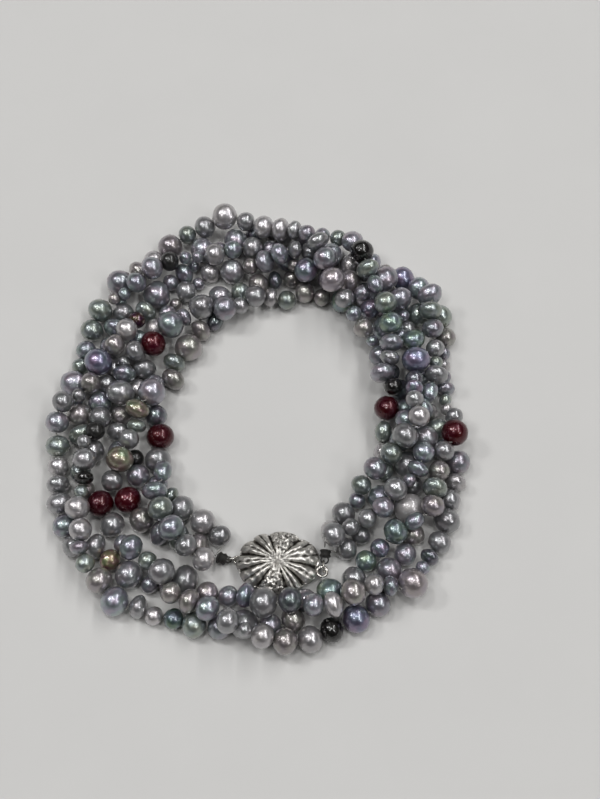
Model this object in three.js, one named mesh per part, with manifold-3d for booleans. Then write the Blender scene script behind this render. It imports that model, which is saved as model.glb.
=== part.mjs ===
// Layered necklace: three strands of freshwater pearls, twisted round each other and laid in two
// turns round an open middle. Black thread bindings gather the ends of the strands, and hang by
// jump rings on a cast silver flower, which is the lid of a small box clasp.
// Millimetres, +Z up. It lies on the plane z = 0, with the middle of its outline over the origin.

import * as THREE from 'three';
import { mergeVertices } from 'three/addons/utils/BufferGeometryUtils.js';
import Module from 'manifold-3d';

const wasm = await Module();
wasm.setup();

const TURN = 2 * Math.PI;

// ---------------------------------------------------------------------------------------------
// Route of the strands
// ---------------------------------------------------------------------------------------------

const STRAND_NAMES = ['a', 'b', 'c'];
const FIRST_BEARING = -103; // degrees, of the left binding
const STATION_STEP = -25; // degrees from one station of the route to the next, clockwise
const OUTLINE_MIDDLE = { x: 2.1, y: 3.5 }; // of the whole necklace, from the middle of the bearings
const STRAND_RISE = 2.7; // half the height over which the strands part
const WANDER = 2.0; // mm that a strand strays sideways, in two waves
const WANDER_WAVES = [0.87, 1.33]; // of the two waves, in turns to a station
const WANDER_SHIFT = 0.37; // turns, between one strand's waves and the next one's

// Stations of the bundle, from the left binding round to the right one: radius of its middle line,
// height of that line, half the width over which the strands part, and the turns by which they
// have twisted round each other.
const STATIONS = [
  [32.0, 2.6, 0.5, 0.0],
  [30.0, 4.6, 3.7, 0.18],
  [28.0, 4.8, 4.3, 0.38],
  [27.6, 4.8, 4.8, 0.58],
  [29.5, 4.8, 5.2, 0.75],
  [32.8, 4.8, 6.4, 0.9],
  [37.2, 4.8, 7.0, 1.0],
  [43.1, 4.8, 5.6, 1.12],
  [50.4, 4.6, 4.6, 1.3],
  [52.0, 4.6, 4.2, 1.5],
  [43.6, 4.8, 3.8, 1.7],
  [46.4, 4.8, 4.2, 1.9],
  [48.6, 4.8, 4.6, 2.1],
  [47.4, 4.8, 4.6, 2.3],
  [45.2, 4.8, 4.2, 2.48],
  [44.4, 4.8, 4.2, 2.66],
  [45.7, 4.8, 4.3, 2.84],
  [41.6, 4.8, 4.4, 3.02],
  [40.2, 4.8, 4.4, 3.2],
  [43.6, 4.8, 5.0, 3.4],
  [49.6, 4.8, 5.0, 3.6],
  [53.0, 6.5, 4.8, 3.8],
  [50.2, 9.6, 4.6, 4.0],
  [43.4, 9.6, 4.2, 4.2],
  [39.4, 8.6, 4.2, 4.4],
  [37.8, 7.2, 4.4, 4.6],
  [35.2, 5.4, 4.4, 4.8],
  [34.3, 2.6, 0.5, 5.0],
].map(([radius, lift, spread, twist]) => ({ radius, lift, spread, twist }));

const LAST_STATION = STATIONS.length - 1;
const TRACE_STEPS = 16; // samples of a strand's path between two stations
const NUDGE = 0.02; // stations, half the step over which the route's heading is taken

// ---------------------------------------------------------------------------------------------
// Pearls
// ---------------------------------------------------------------------------------------------

// Kinds of pearl on the strands: width across the thread, length along it, share of the pearls.
const KINDS = [
  [5.9, 5.3, 0.24],
  [6.6, 6.0, 0.12],
  [5.2, 4.8, 0.22],
  [6.0, 4.2, 0.12],
  [4.3, 4.0, 0.11],
  [4.0, 5.2, 0.05],
  [3.2, 2.9, 0.09],
  [4.8, 3.2, 0.05],
].map(([across, along, share]) => ({ across, along, share }));
const SIZE_VARIATION = 0.16; // of a pearl's size, from the smallest of its kind to the largest
const STRING_SEED = 23;

// Pearls that are solids of their own: strand, bearing along the route in degrees from the left
// binding, width, length and tone.
const SINGLE_PEARLS = [
  ['a', 64, 6.6, 6.0, 'wine'],
  ['a', 160, 6.4, 6.0, 'grey'],
  ['a', 229, 6.0, 5.6, 'grey'],
  ['a', 300, 7.0, 6.6, 'rose'],
  ['a', 379, 6.6, 6.2, 'grey'],
  ['a', 452, 6.8, 6.4, 'violet'],
  ['a', 536, 6.2, 5.8, 'grey'],
  ['a', 604, 6.2, 5.8, 'wine'],
  ['b', 59, 4.4, 4.2, 'black'],
  ['b', 114, 6.4, 6.0, 'wine'],
  ['b', 190, 6.0, 5.6, 'peacock'],
  ['b', 257, 6.4, 6.0, 'wine'],
  ['b', 320, 6.4, 6.2, 'peacock'],
  ['b', 433, 4.6, 4.4, 'black'],
  ['b', 503, 6.4, 6.0, 'rose'],
  ['b', 556, 6.4, 6.0, 'rose'],
  ['b', 612, 6.0, 5.6, 'grey'],
  ['c', 39, 6.4, 6.0, 'wine'],
  ['c', 150, 6.2, 5.8, 'grey'],
  ['c', 207, 6.4, 6.0, 'violet'],
  ['c', 276, 7.4, 6.8, 'pale'],
  ['c', 311, 6.6, 6.2, 'violet'],
  ['c', 406, 6.4, 6.0, 'wine'],
  ['c', 493, 4.9, 4.6, 'black'],
  ['c', 589, 7.0, 6.0, 'violet'],
].map(([strand, sweep, across, along, tone]) => ({ strand, sweep, across, along, tone }));

const THREAD_GAP = 0.2; // between neighbours on one thread
const END_THREAD = 2.2; // bare thread from the binding to the first pearl

// ---------------------------------------------------------------------------------------------
// Settling of the strands on the surface
// ---------------------------------------------------------------------------------------------

const CONTACT_GAP = 0.25; // between pearls of different strands
const SETTLING_ROUNDS = 320;
const HELD_ROUNDS = 240; // rounds in which the route still draws the pearls
const ROUTE_PULL = 0.03;
const SAG = 0.08; // mm that a pearl drops in a round
const NEIGHBOUR_ROUNDS = 10; // rounds between two searches for neighbours
const NEIGHBOUR_REACH = 11; // mm
const LEAST_OPENING = 0.82; // of the straight length of two links, kept when the thread bends

// ---------------------------------------------------------------------------------------------
// Clasp
// ---------------------------------------------------------------------------------------------

const CLASP = { x: 7.2, y: -32.9, halfWidth: 9.3, halfDepth: 7.0, height: 5.6 };
const FLOWER_SECTORS = 54;
const RIM_BOTTOM = 2.4;
const RIM_TOP = 3.2;
const BOX = { halfWidth: 6.6, halfDepth: 4.8 };

// Petals round the flower: bearing of the middle, half the angle, how far the tip stands out of
// the oval, number of ribs, and height of the grains of a pebbled petal.
const PETALS = [
  [78, 30, 0.5, 2, 0.34],
  [20, 27, 0.5, 2, 0],
  [-24, 16, 0.5, 2, 0],
  [-57, 16, 0.4, 2, 0],
  [-102, 28, 0.5, 2, 0.34],
  [-149, 19, 0.4, 2, 0],
  [-180, 13, 0.4, 2, 0],
  [152, 14, 0.4, 2, 0],
  [123, 15, 0.5, 2, 0],
].map(([bearing, halfAngle, reach, ribs, grain]) => ({ bearing, halfAngle, reach, ribs, grain }));

// Rings of the dome from its middle to its rim: share of the radius, and of the dome's height.
const DOME_RINGS = [
  [0.18, 0.92],
  [0.4, 1.0],
  [0.62, 0.86],
  [0.82, 0.52],
  [0.95, 0.18],
  [1.0, 0.0],
].map(([radius, height]) => ({ radius, height }));
const DOME_MIDDLE = 0.78; // share of the dome's height at the dip in the middle
const VALLEY_DEPTH = 0.5; // between two petals
const RIB_HEIGHT = 0.22;
const RELIEF_START = 0.42; // share of the radius from which the relief is full
const GRAIN_START = 0.4; // share of the radius from which grains stand on a pebbled petal
const RIM_FOOT = 0.97; // share of the radius at the lower edge of the rim

const SLOT = { length: 5.4, halfWidth: 1.9, bottom: 0.85, top: 2.15, y: 1.2 };
// Leaf of the spring tongue: its end from the flower's middle, half widths, bottom and top.
const TONGUE = { end: -1.6, halfWidth: 1.5, neck: 0.5, bottom: 1.2, top: 1.8 };
const TONGUE_SHOULDER = 0.2; // from the wall of the box to the wide part of the tongue

// Rings of wire and thread: middle, radius of the ring's middle line, radius of the wire, and the
// direction of the ring's axis.
const RINGS = {
  tongueLoop: { x: -2.3, y: -31.7, z: 1.5, radius: 0.75, wire: 0.25, axis: 'z' },
  jumpLeft: { x: -3.35, y: -31.7, z: 1.5, radius: 1.0, wire: 0.25, axis: 'y' },
  eyeLeft: { x: -4.35, y: -31.7, z: 1.5, radius: 0.7, wire: 0.2, axis: 'z' },
  flowerLoop: { x: 17.35, y: -34.9, z: 2.8, radius: 1.15, wire: 0.35, axis: 'z' },
  jumpRight: { x: 17.75, y: -33.7, z: 2.7, radius: 1.25, wire: 0.25, axis: 'x' },
  eyeRight: { x: 18.0, y: -32.1, z: 2.7, radius: 0.85, wire: 0.2, axis: 'z' },
};
const RING_STEPS = 9;
const WIRE_SIDES = 5;

// Thread bindings: where the round wound body starts and ends, and its profile from end to end as
// shares of its length and its radius.
const BINDINGS = {
  left: { from: [-4.95, -31.7, 1.6], to: [-6.7, -31.3, 2.4], radius: 1.5 },
  right: { from: [18.1, -31.4, 2.7], to: [18.3, -29.8, 2.7], radius: 1.4 },
};
const BINDING_PROFILE = [
  [0, 0.5],
  [0.12, 1],
  [0.4, 0.8],
  [0.6, 0.8],
  [0.88, 1],
  [1, 0.5],
].map(([along, radius]) => ({ along, radius }));
const BINDING_SIDES = 10;

// Balls that the pearls stay out of: the bindings and the rings of the clasp.
const FITTINGS = [
  ...Object.values(BINDINGS).map(({ from, to, radius }) => ({
    x: (from[0] + to[0]) / 2,
    y: (from[1] + to[1]) / 2,
    z: (from[2] + to[2]) / 2,
    radius: radius + CONTACT_GAP,
  })),
  ...Object.values(RINGS).map((ring) => ({ ...ring, radius: ring.radius + ring.wire + CONTACT_GAP })),
];

const radians = (degrees) => (degrees * TURN) / 360;

/** Value between the middle two of four numbers, on a smooth curve through all of them. */
function curveValue([before, from, to, after], share) {
  const slope = to - before;
  const bend = 2 * before - 5 * from + 4 * to - after;
  const twist = 3 * from - 3 * to + after - before;
  return from + (share * (slope + share * (bend + share * twist))) / 2;
}

/** One column of the stations, read at any place along the route. */
function stationValue(column, place) {
  const from = Math.min(Math.floor(place), LAST_STATION - 1);
  const rows = [from - 1, from, from + 1, from + 2];
  const values = rows.map((row) => STATIONS[Math.max(0, Math.min(row, LAST_STATION))][column]);
  return curveValue(values, place - from);
}

/** Middle of the bundle at a place along the route, counted in stations. */
function bundleMiddle(place) {
  const bearing = radians(FIRST_BEARING + STATION_STEP * place);
  const radius = stationValue('radius', place);
  return {
    x: radius * Math.cos(bearing),
    y: radius * Math.sin(bearing),
    z: stationValue('lift', place),
  };
}

/** Point on the path of one strand, which winds round the middle of the bundle. */
function strandPoint(strand, place) {
  const middle = bundleMiddle(place);
  const ahead = bundleMiddle(Math.min(place + NUDGE, LAST_STATION));
  const behind = bundleMiddle(Math.max(place - NUDGE, 0));
  const run = { x: ahead.x - behind.x, y: ahead.y - behind.y };
  const length = Math.sqrt(run.x * run.x + run.y * run.y);
  const phase = TURN * (strand / STRAND_NAMES.length + stationValue('twist', place));
  const spread = stationValue('spread', place);
  const waves = WANDER_WAVES.map((rate) => Math.sin(TURN * (rate * place + WANDER_SHIFT * strand)));
  const ease = Math.min(1, place, LAST_STATION - place);
  const outward = spread * Math.cos(phase) + (WANDER * ease * (waves[0] + waves[1])) / 2;
  return {
    x: middle.x - (run.y / length) * outward,
    y: middle.y + (run.x / length) * outward,
    z: middle.z + Math.min(spread, STRAND_RISE) * Math.sin(phase),
  };
}

function distanceBetween(one, other) {
  const x = one.x - other.x;
  const y = one.y - other.y;
  const z = one.z - other.z;
  return Math.sqrt(x * x + y * y + z * z);
}

/** Path of a strand as points, each with its distance along the thread. */
function tracePath(strand) {
  const points = [{ ...strandPoint(strand, 0), distance: 0 }];
  for (let step = 1; step <= LAST_STATION * TRACE_STEPS; step += 1) {
    const point = strandPoint(strand, step / TRACE_STEPS);
    const last = points[points.length - 1];
    points.push({ ...point, distance: last.distance + distanceBetween(point, last) });
  }
  return points;
}

/** Point of a traced path at a distance along it. */
function pathPoint(path, distance) {
  let next = 1;
  while (next < path.length - 1 && path[next].distance < distance) {
    next += 1;
  }
  const from = path[next - 1];
  const to = path[next];
  const share = (distance - from.distance) / (to.distance - from.distance);
  return {
    x: from.x + (to.x - from.x) * share,
    y: from.y + (to.y - from.y) * share,
    z: from.z + (to.z - from.z) * share,
  };
}

/** Park-Miller dice: the same seed always strings the same pearls. */
function makeDice(seed) {
  let state = seed;
  return () => {
    state = (state * 16807) % 2147483647;
    return state / 2147483647;
  };
}

function pickKind(dice) {
  let left = dice();
  for (const kind of KINDS) {
    left -= kind.share;
    if (left < 0) {
      return kind;
    }
  }
  return KINDS[0];
}

/** Pearls of one strand in their order on the thread, each with its place on the path. */
function stringPearls(strand, dice) {
  const path = tracePath(strand);
  const end = path[path.length - 1].distance - END_THREAD;
  const singles = SINGLE_PEARLS.filter((pearl) => pearl.strand === STRAND_NAMES[strand]).map(
    (pearl) => ({ ...pearl, start: path[Math.round((pearl.sweep / -STATION_STEP) * TRACE_STEPS)] }),
  );
  const pearls = [];
  let cursor = END_THREAD;
  for (;;) {
    const due = singles.length > 0 && singles[0].start.distance - singles[0].along / 2 <= cursor;
    const kind = due ? singles.shift() : pickKind(dice);
    const scale = due ? 1 : 1 + SIZE_VARIATION * (dice() - 0.5);
    const along = kind.along * scale;
    if (cursor + along > end) {
      break;
    }
    pearls.push({
      across: kind.across * scale,
      along,
      tone: kind.tone,
      strand,
      middle: cursor + along / 2,
    });
    cursor += along + THREAD_GAP;
  }
  const stretch = (end - END_THREAD) / (cursor - THREAD_GAP - END_THREAD);
  for (const pearl of pearls) {
    pearl.route = pathPoint(path, END_THREAD + (pearl.middle - END_THREAD) * stretch);
    pearl.seat = { ...pearl.route };
  }
  return { pearls, anchors: [path[0], path[path.length - 1]], stretch };
}

/** Sets the axis of each pearl along its thread, from the neighbour before to the one after. */
function turnPearls(strands) {
  for (const { pearls, anchors } of strands) {
    pearls.forEach((pearl, index) => {
      const before = index > 0 ? pearls[index - 1].seat : anchors[0];
      const after = index < pearls.length - 1 ? pearls[index + 1].seat : anchors[1];
      const length = distanceBetween(before, after);
      pearl.axis = {
        x: (after.x - before.x) / length,
        y: (after.y - before.y) / length,
        z: (after.z - before.z) / length,
      };
    });
  }
}

/** Distance from a pearl's middle to its skin in the direction of a unit vector. */
function skinDistance(pearl, x, y, z) {
  const cosine = pearl.axis.x * x + pearl.axis.y * y + pearl.axis.z * z;
  const flatness = pearl.across / pearl.along;
  return pearl.across / 2 / Math.sqrt(1 + cosine * cosine * (flatness * flatness - 1));
}

/** Moves two seats along the line between them, by a share of what their distance lacks. */
function spreadSeats(one, other, lacking, distance) {
  const share = lacking / distance / 2;
  const x = (other.x - one.x) * share;
  const y = (other.y - one.y) * share;
  const z = (other.z - one.z) * share;
  one.x -= x;
  one.y -= y;
  one.z -= z;
  other.x += x;
  other.y += y;
  other.z += z;
}

/** Pairs of pearls that are near each other and aren't neighbours on one thread. */
function nearbyPairs(pearls) {
  const pairs = [];
  for (let first = 0; first < pearls.length; first += 1) {
    const one = pearls[first];
    for (let second = first + 1; second < pearls.length; second += 1) {
      const other = pearls[second];
      const neighbours = one.strand === other.strand && second === first + 1;
      if (!neighbours && distanceBetween(one.seat, other.seat) < NEIGHBOUR_REACH) {
        pairs.push([one, other]);
      }
    }
  }
  return pairs;
}

/** Keeps neighbours on a thread at their spacing, and the thread from folding sharply. */
function keepLinks({ pearls, anchors, stretch }) {
  for (let index = 1; index < pearls.length; index += 1) {
    const one = pearls[index - 1];
    const other = pearls[index];
    const distance = distanceBetween(one.seat, other.seat);
    const wanted = ((one.along + other.along) / 2 + THREAD_GAP) * stretch;
    spreadSeats(one.seat, other.seat, wanted - distance, distance);
  }
  for (let index = 2; index < pearls.length; index += 1) {
    const [one, between, other] = pearls.slice(index - 2, index + 1);
    const distance = distanceBetween(one.seat, other.seat);
    const straight = (one.along + other.along) / 2 + between.along + 2 * THREAD_GAP;
    const lacking = LEAST_OPENING * straight - distance;
    if (lacking > 0) {
      spreadSeats(one.seat, other.seat, lacking, distance);
    }
  }
  for (const [pearl, anchor] of [[pearls[0], anchors[0]], [pearls[pearls.length - 1], anchors[1]]]) {
    const distance = distanceBetween(pearl.seat, anchor);
    const share = (END_THREAD + pearl.along / 2) / distance;
    pearl.seat.x = anchor.x + (pearl.seat.x - anchor.x) * share;
    pearl.seat.y = anchor.y + (pearl.seat.y - anchor.y) * share;
    pearl.seat.z = anchor.z + (pearl.seat.z - anchor.z) * share;
  }
}

function partPearls(pairs) {
  for (const [one, other] of pairs) {
    const distance = distanceBetween(one.seat, other.seat);
    const x = (other.seat.x - one.seat.x) / distance;
    const y = (other.seat.y - one.seat.y) / distance;
    const z = (other.seat.z - one.seat.z) / distance;
    const wanted = skinDistance(one, x, y, z) + skinDistance(other, x, y, z) + CONTACT_GAP;
    if (distance < wanted) {
      spreadSeats(one.seat, other.seat, wanted - distance, distance);
    }
  }
}

/** Keeps a pearl above the surface and clear of the clasp and its fittings. */
function clearPearl(pearl) {
  for (const fitting of FITTINGS) {
    const distance = distanceBetween(pearl.seat, fitting);
    const share = (fitting.radius + pearl.across / 2) / distance;
    if (share > 1) {
      pearl.seat.x = fitting.x + (pearl.seat.x - fitting.x) * share;
      pearl.seat.y = fitting.y + (pearl.seat.y - fitting.y) * share;
      pearl.seat.z = fitting.z + (pearl.seat.z - fitting.z) * share;
    }
  }
  const floor = skinDistance(pearl, 0, 0, 1);
  pearl.seat.z = Math.max(pearl.seat.z, floor);
  const x = pearl.seat.x - CLASP.x;
  const y = pearl.seat.y - CLASP.y;
  const acrossX = CLASP.halfWidth + pearl.across / 2 + CONTACT_GAP;
  const acrossY = CLASP.halfDepth + pearl.across / 2 + CONTACT_GAP;
  const inside = Math.sqrt((x / acrossX) * (x / acrossX) + (y / acrossY) * (y / acrossY));
  if (inside < 1 && pearl.seat.z < CLASP.height + pearl.across / 2) {
    pearl.seat.x = CLASP.x + x / inside;
    pearl.seat.y = CLASP.y + y / inside;
  }
}

/** Lets the pearls sink onto the surface and each other, held by their threads. */
function settlePearls(strands) {
  const pearls = strands.flatMap((strand) => strand.pearls);
  let pairs = [];
  for (let round = 0; round < SETTLING_ROUNDS; round += 1) {
    if (round % NEIGHBOUR_ROUNDS === 0) {
      turnPearls(strands);
      pairs = nearbyPairs(pearls);
    }
    const pull = round < HELD_ROUNDS ? ROUTE_PULL : 0;
    for (const { seat, route } of pearls) {
      seat.x += (route.x - seat.x) * pull;
      seat.y += (route.y - seat.y) * pull;
      seat.z += (route.z - seat.z) * pull - (round < HELD_ROUNDS ? SAG : 0);
    }
    strands.forEach(keepLinks);
    partPearls(pairs);
    pearls.forEach(clearPearl);
  }
  turnPearls(strands);
}

const dice = makeDice(STRING_SEED);
const strands = STRAND_NAMES.map((name, strand) => stringPearls(strand, dice));
settlePearls(strands);

// ---------------------------------------------------------------------------------------------
// Solids
// ---------------------------------------------------------------------------------------------

const UP = new THREE.Vector3(0, 0, 1);
const PEARL_SIDES = 7;
const PEARL_ARCS = [-48, 0, 48]; // degrees from the waist, of the corners of a pearl's profile
const BORE_RADIUS = 0.55;
const THREAD_RADIUS = 0.3;
const THREAD_SIDES = 3;
const WAIST_SIDES = 2 * THREAD_SIDES;
const WAIST_TURN = radians(15); // so that a waist is as wide as it is high
const WAIST_PLACE = 0.36; // share of half the length, from the middle to each ring of a waist
const WAIST_WIDTH = 0.96;
const SMALL_PEARL = 4.5; // mm across, under which a pearl's waist is one ring
const THREAD_STOP = 0.15; // from the middle of a drilled pearl to the end of a thread in it
const BINDING_STOP = 0.3; // from a binding to the end of a thread

const TONES = {
  grey: { color: 0x8f8f98, roughness: 0.28, metalness: 0.35 },
  pale: { color: 0xb9b6bb, roughness: 0.32, metalness: 0.25 },
  violet: { color: 0x6d6a86, roughness: 0.25, metalness: 0.4 },
  rose: { color: 0x9a8288, roughness: 0.3, metalness: 0.3 },
  peacock: { color: 0x667a76, roughness: 0.25, metalness: 0.4 },
  black: { color: 0x26231f, roughness: 0.25, metalness: 0.35 },
  wine: { color: 0x4a0f16, roughness: 0.25, metalness: 0.3 },
};
const SILVER = { color: 0xb4b2ad, roughness: 0.3, metalness: 1 };
const BLACK_THREAD = { color: 0x121211, roughness: 0.85, metalness: 0 };

const necklace = new THREE.Group();
necklace.position.set(-OUTLINE_MIDDLE.x, -OUTLINE_MIDDLE.y, 0);

/** Adds a named piece to the necklace. */
function addPiece(name, geometry, look) {
  const mesh = new THREE.Mesh(geometry, new THREE.MeshStandardMaterial(look));
  mesh.name = name;
  necklace.add(mesh);
  return mesh;
}

/** Closed geometry from corner positions and triangles. */
function geometryOf(corners, triangles) {
  const geometry = new THREE.BufferGeometry();
  geometry.setAttribute('position', new THREE.Float32BufferAttribute(corners, 3));
  geometry.setIndex(triangles);
  return geometry;
}

/** Corners of a ring round an axis; a ring of three has them between each pair of a waist's. */
function ringCorners({ centre, axis, radius, sides }) {
  const side = new THREE.Vector3().crossVectors(UP, axis).normalize();
  const top = new THREE.Vector3().crossVectors(axis, side);
  const offset = sides === WAIST_SIDES ? 0 : 0.5;
  const corners = [];
  for (let corner = 0; corner < sides; corner += 1) {
    const step = (corner * WAIST_SIDES) / sides + offset;
    const angle = WAIST_TURN + (TURN * step) / WAIST_SIDES;
    const point = centre.clone();
    point.addScaledVector(side, radius * Math.cos(angle));
    point.addScaledVector(top, radius * Math.sin(angle));
    corners.push(point);
  }
  return corners;
}

/** Closed tube through rings that have six or three corners. */
function tubeThrough(rings) {
  const corners = [];
  const triangles = [];
  let behind = null;
  for (const ring of rings) {
    const first = corners.length / 3;
    ringCorners(ring).forEach((corner) => corners.push(corner.x, corner.y, corner.z));
    const folded = ring.sides === WAIST_SIDES ? 1 : 2;
    const cornerAt = (step) => first + Math.floor((step % WAIST_SIDES) / folded);
    if (behind === null) {
      triangles.push(cornerAt(0), cornerAt(4), cornerAt(2));
    } else {
      for (let step = 0; step < WAIST_SIDES; step += 1) {
        const quad = [behind(step), behind(step + 1), cornerAt(step + 1), cornerAt(step)];
        if (quad[0] !== quad[1]) {
          triangles.push(quad[0], quad[1], quad[2]);
        }
        if (quad[2] !== quad[3]) {
          triangles.push(quad[0], quad[2], quad[3]);
        }
      }
    }
    behind = cornerAt;
  }
  triangles.push(behind(0), behind(2), behind(4));
  return geometryOf(corners, triangles);
}

const vector = ({ x, y, z }) => new THREE.Vector3(x, y, z);

/** Point on a pearl's axis, at a distance from its middle. */
function axisPoint(pearl, distance) {
  return vector(pearl.seat).addScaledVector(vector(pearl.axis), distance);
}

function threadRing(centre, axis) {
  return { centre, axis: axis.clone().normalize(), radius: THREAD_RADIUS, sides: THREAD_SIDES };
}

/** Rings of the thread's end in a drilled pearl, on the side that the sign gives. */
function boredThread(pearl, sign) {
  const axis = vector(pearl.axis);
  return [THREAD_STOP, pearl.along / 2].map((reach) => threadRing(axisPoint(pearl, sign * reach), axis));
}

/** Ring of the bare thread that comes from a binding to the strand's first or last pearl. */
function boundThread(pearl, anchor, sign) {
  const middle = vector(anchor);
  const pole = axisPoint(pearl, (sign * pearl.along) / 2);
  const way = pole.clone().sub(middle).normalize();
  const start = middle.addScaledVector(way, BINDING_STOP);
  return [threadRing(start, way.clone().multiplyScalar(-sign))];
}

/** Rings of a stretch of pearls and the thread between them. */
function stretchRings(run, startRings, endRings) {
  const rings = [...startRings];
  run.forEach((pearl, index) => {
    const axis = vector(pearl.axis);
    const start = axisPoint(pearl, -pearl.along / 2);
    if (index > 0) {
      const before = run[index - 1];
      const middle = axisPoint(before, before.along / 2).add(start).multiplyScalar(0.5);
      rings.push(threadRing(middle, axis.clone().add(vector(before.axis))));
    } else {
      rings.push(threadRing(start, axis));
    }
    for (const sign of pearl.across < SMALL_PEARL ? [0] : [-1, 1]) {
      rings.push({
        centre: axisPoint(pearl, (sign * WAIST_PLACE * pearl.along) / 2),
        axis,
        radius: (WAIST_WIDTH * pearl.across) / 2,
        sides: WAIST_SIDES,
      });
    }
  });
  const last = run[run.length - 1];
  rings.push(threadRing(axisPoint(last, last.along / 2), vector(last.axis)));
  return [...rings, ...endRings];
}

/** Drilled pearl, turned about the Y axis. */
function drilledPearl({ across, along }) {
  const mouth = (along / 2) * Math.sqrt(1 - (2 * BORE_RADIUS / across) ** 2);
  const profile = [new THREE.Vector2(BORE_RADIUS, -mouth)];
  for (const arc of PEARL_ARCS) {
    const angle = radians(arc);
    profile.push(new THREE.Vector2((across / 2) * Math.cos(angle), (along / 2) * Math.sin(angle)));
  }
  profile.push(new THREE.Vector2(BORE_RADIUS, mouth), profile[0].clone());
  return new THREE.LatheGeometry(profile, PEARL_SIDES);
}

/** Adds one strand: its drilled pearls, and the stretches of pearls between them. */
function addStrand({ pearls, anchors }, name) {
  const isSingle = (pearl) => pearl.tone !== undefined;
  let run = [];
  let startRings = boundThread(pearls[0], anchors[0], -1);
  let count = 1;
  pearls.forEach((pearl, index) => {
    if (!isSingle(pearl)) {
      run.push(pearl);
    }
    if (isSingle(pearl) || index === pearls.length - 1) {
      const endRings = isSingle(pearl)
        ? boredThread(pearl, -1).reverse()
        : boundThread(pearl, anchors[1], 1);
      const rings = stretchRings(run, startRings, endRings);
      addPiece(`strand_${name}_stretch_${count}`, tubeThrough(rings), TONES.grey);
    }
    if (isSingle(pearl)) {
      const mesh = addPiece(`strand_${name}_pearl_${count}`, drilledPearl(pearl), TONES[pearl.tone]);
      mesh.position.copy(vector(pearl.seat));
      mesh.quaternion.setFromUnitVectors(new THREE.Vector3(0, 1, 0), vector(pearl.axis));
      startRings = boredThread(pearl, 1);
      run = [];
      count += 1;
    }
  });
}

/** Solid for cutting and joining, from a closed geometry. */
function solidOf(geometry) {
  const bare = geometry.clone();
  bare.deleteAttribute('normal');
  bare.deleteAttribute('uv');
  const merged = mergeVertices(bare, 1e-4);
  const mesh = new wasm.Mesh({
    numProp: 3,
    vertProperties: new Float32Array(merged.attributes.position.array),
    triVerts: new Uint32Array(merged.index.array),
  });
  return new wasm.Manifold(mesh);
}

/** Geometry of a solid. */
function geometryFrom(solid) {
  const mesh = solid.getMesh();
  return geometryOf(Array.from(mesh.vertProperties), Array.from(mesh.triVerts));
}

/** Ring of wire, with its axis along X, Y or Z. */
function wireRing({ x, y, z, radius, wire, axis }) {
  const ring = new THREE.TorusGeometry(radius, wire, WIRE_SIDES, RING_STEPS);
  if (axis === 'x') {
    ring.rotateY(TURN / 4);
  }
  if (axis === 'y') {
    ring.rotateX(TURN / 4);
  }
  return ring.translate(x, y, z);
}

const box = (width, depth, height, x, y, z) => (
  new THREE.BoxGeometry(width, depth, height).translate(x, y, z)
);

/** Petal at a bearing, and the place across it from -1 to 1. */
function petalAt(bearing) {
  for (const petal of PETALS) {
    const away = ((bearing - petal.bearing + 540) % 360) - 180; // from -180 to 180 degrees
    if (Math.abs(away) <= petal.halfAngle) {
      return { petal, across: away / petal.halfAngle };
    }
  }
  return { petal: PETALS[0], across: 1 };
}

/** Oval outline at a bearing: its distance from the middle. */
function ovalRadius(angle, halfWidth, halfDepth) {
  return 1 / Math.hypot(Math.cos(angle) / halfWidth, Math.sin(angle) / halfDepth);
}

/** Domed flower with its petals, ribs and grains raised, on the round wall of its box. */
function flowerGeometry() {
  const corners = [];
  const triangles = [];
  const domeHeight = CLASP.height - RIM_TOP;
  const loops = [
    ...DOME_RINGS.map((ring) => ({ ...ring, isDome: true })),
    { radius: RIM_FOOT, z: RIM_BOTTOM },
    { oval: BOX, z: RIM_BOTTOM },
    { oval: BOX, z: 0 },
  ];
  corners.push(0, 0, RIM_TOP + domeHeight * DOME_MIDDLE);
  loops.forEach((loop, row) => {
    for (let sector = 0; sector < FLOWER_SECTORS; sector += 1) {
      const bearing = (sector * 360) / FLOWER_SECTORS;
      const angle = radians(bearing);
      const { petal, across } = petalAt(bearing);
      const swell = Math.sqrt(Math.max(0, 1 - across * across));
      const oval = ovalRadius(angle, CLASP.halfWidth, CLASP.halfDepth);
      let radius = (oval + petal.reach * (2 * swell - 1)) * loop.radius;
      let z = loop.z;
      if (loop.isDome) {
        const rib = Math.cos(across * petal.ribs * Math.PI) * RIB_HEIGHT;
        const grain = petal.grain * ((sector + row) % 2);
        const relief = rib - VALLEY_DEPTH * (1 - swell) + (loop.radius > GRAIN_START ? grain : 0);
        z = RIM_TOP + domeHeight * loop.height + relief * Math.min(1, loop.radius / RELIEF_START);
        z = loop.radius === 1 ? RIM_TOP : z;
      }
      if (loop.oval) {
        radius = ovalRadius(angle, loop.oval.halfWidth, loop.oval.halfDepth);
      }
      corners.push(radius * Math.cos(angle), radius * Math.sin(angle), z);
    }
  });
  const foot = corners.length / 3;
  corners.push(0, 0, 0);
  for (let sector = 0; sector < FLOWER_SECTORS; sector += 1) {
    const next = (sector + 1) % FLOWER_SECTORS;
    triangles.push(0, 1 + sector, 1 + next);
    for (let row = 1; row < loops.length; row += 1) {
      const inner = 1 + (row - 1) * FLOWER_SECTORS;
      const outer = inner + FLOWER_SECTORS;
      triangles.push(inner + sector, outer + sector, outer + next);
      triangles.push(inner + sector, outer + next, inner + next);
    }
    const last = 1 + (loops.length - 1) * FLOWER_SECTORS;
    triangles.push(foot, last + next, last + sector);
  }
  return geometryOf(corners, triangles).translate(CLASP.x, CLASP.y, 0);
}

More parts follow.
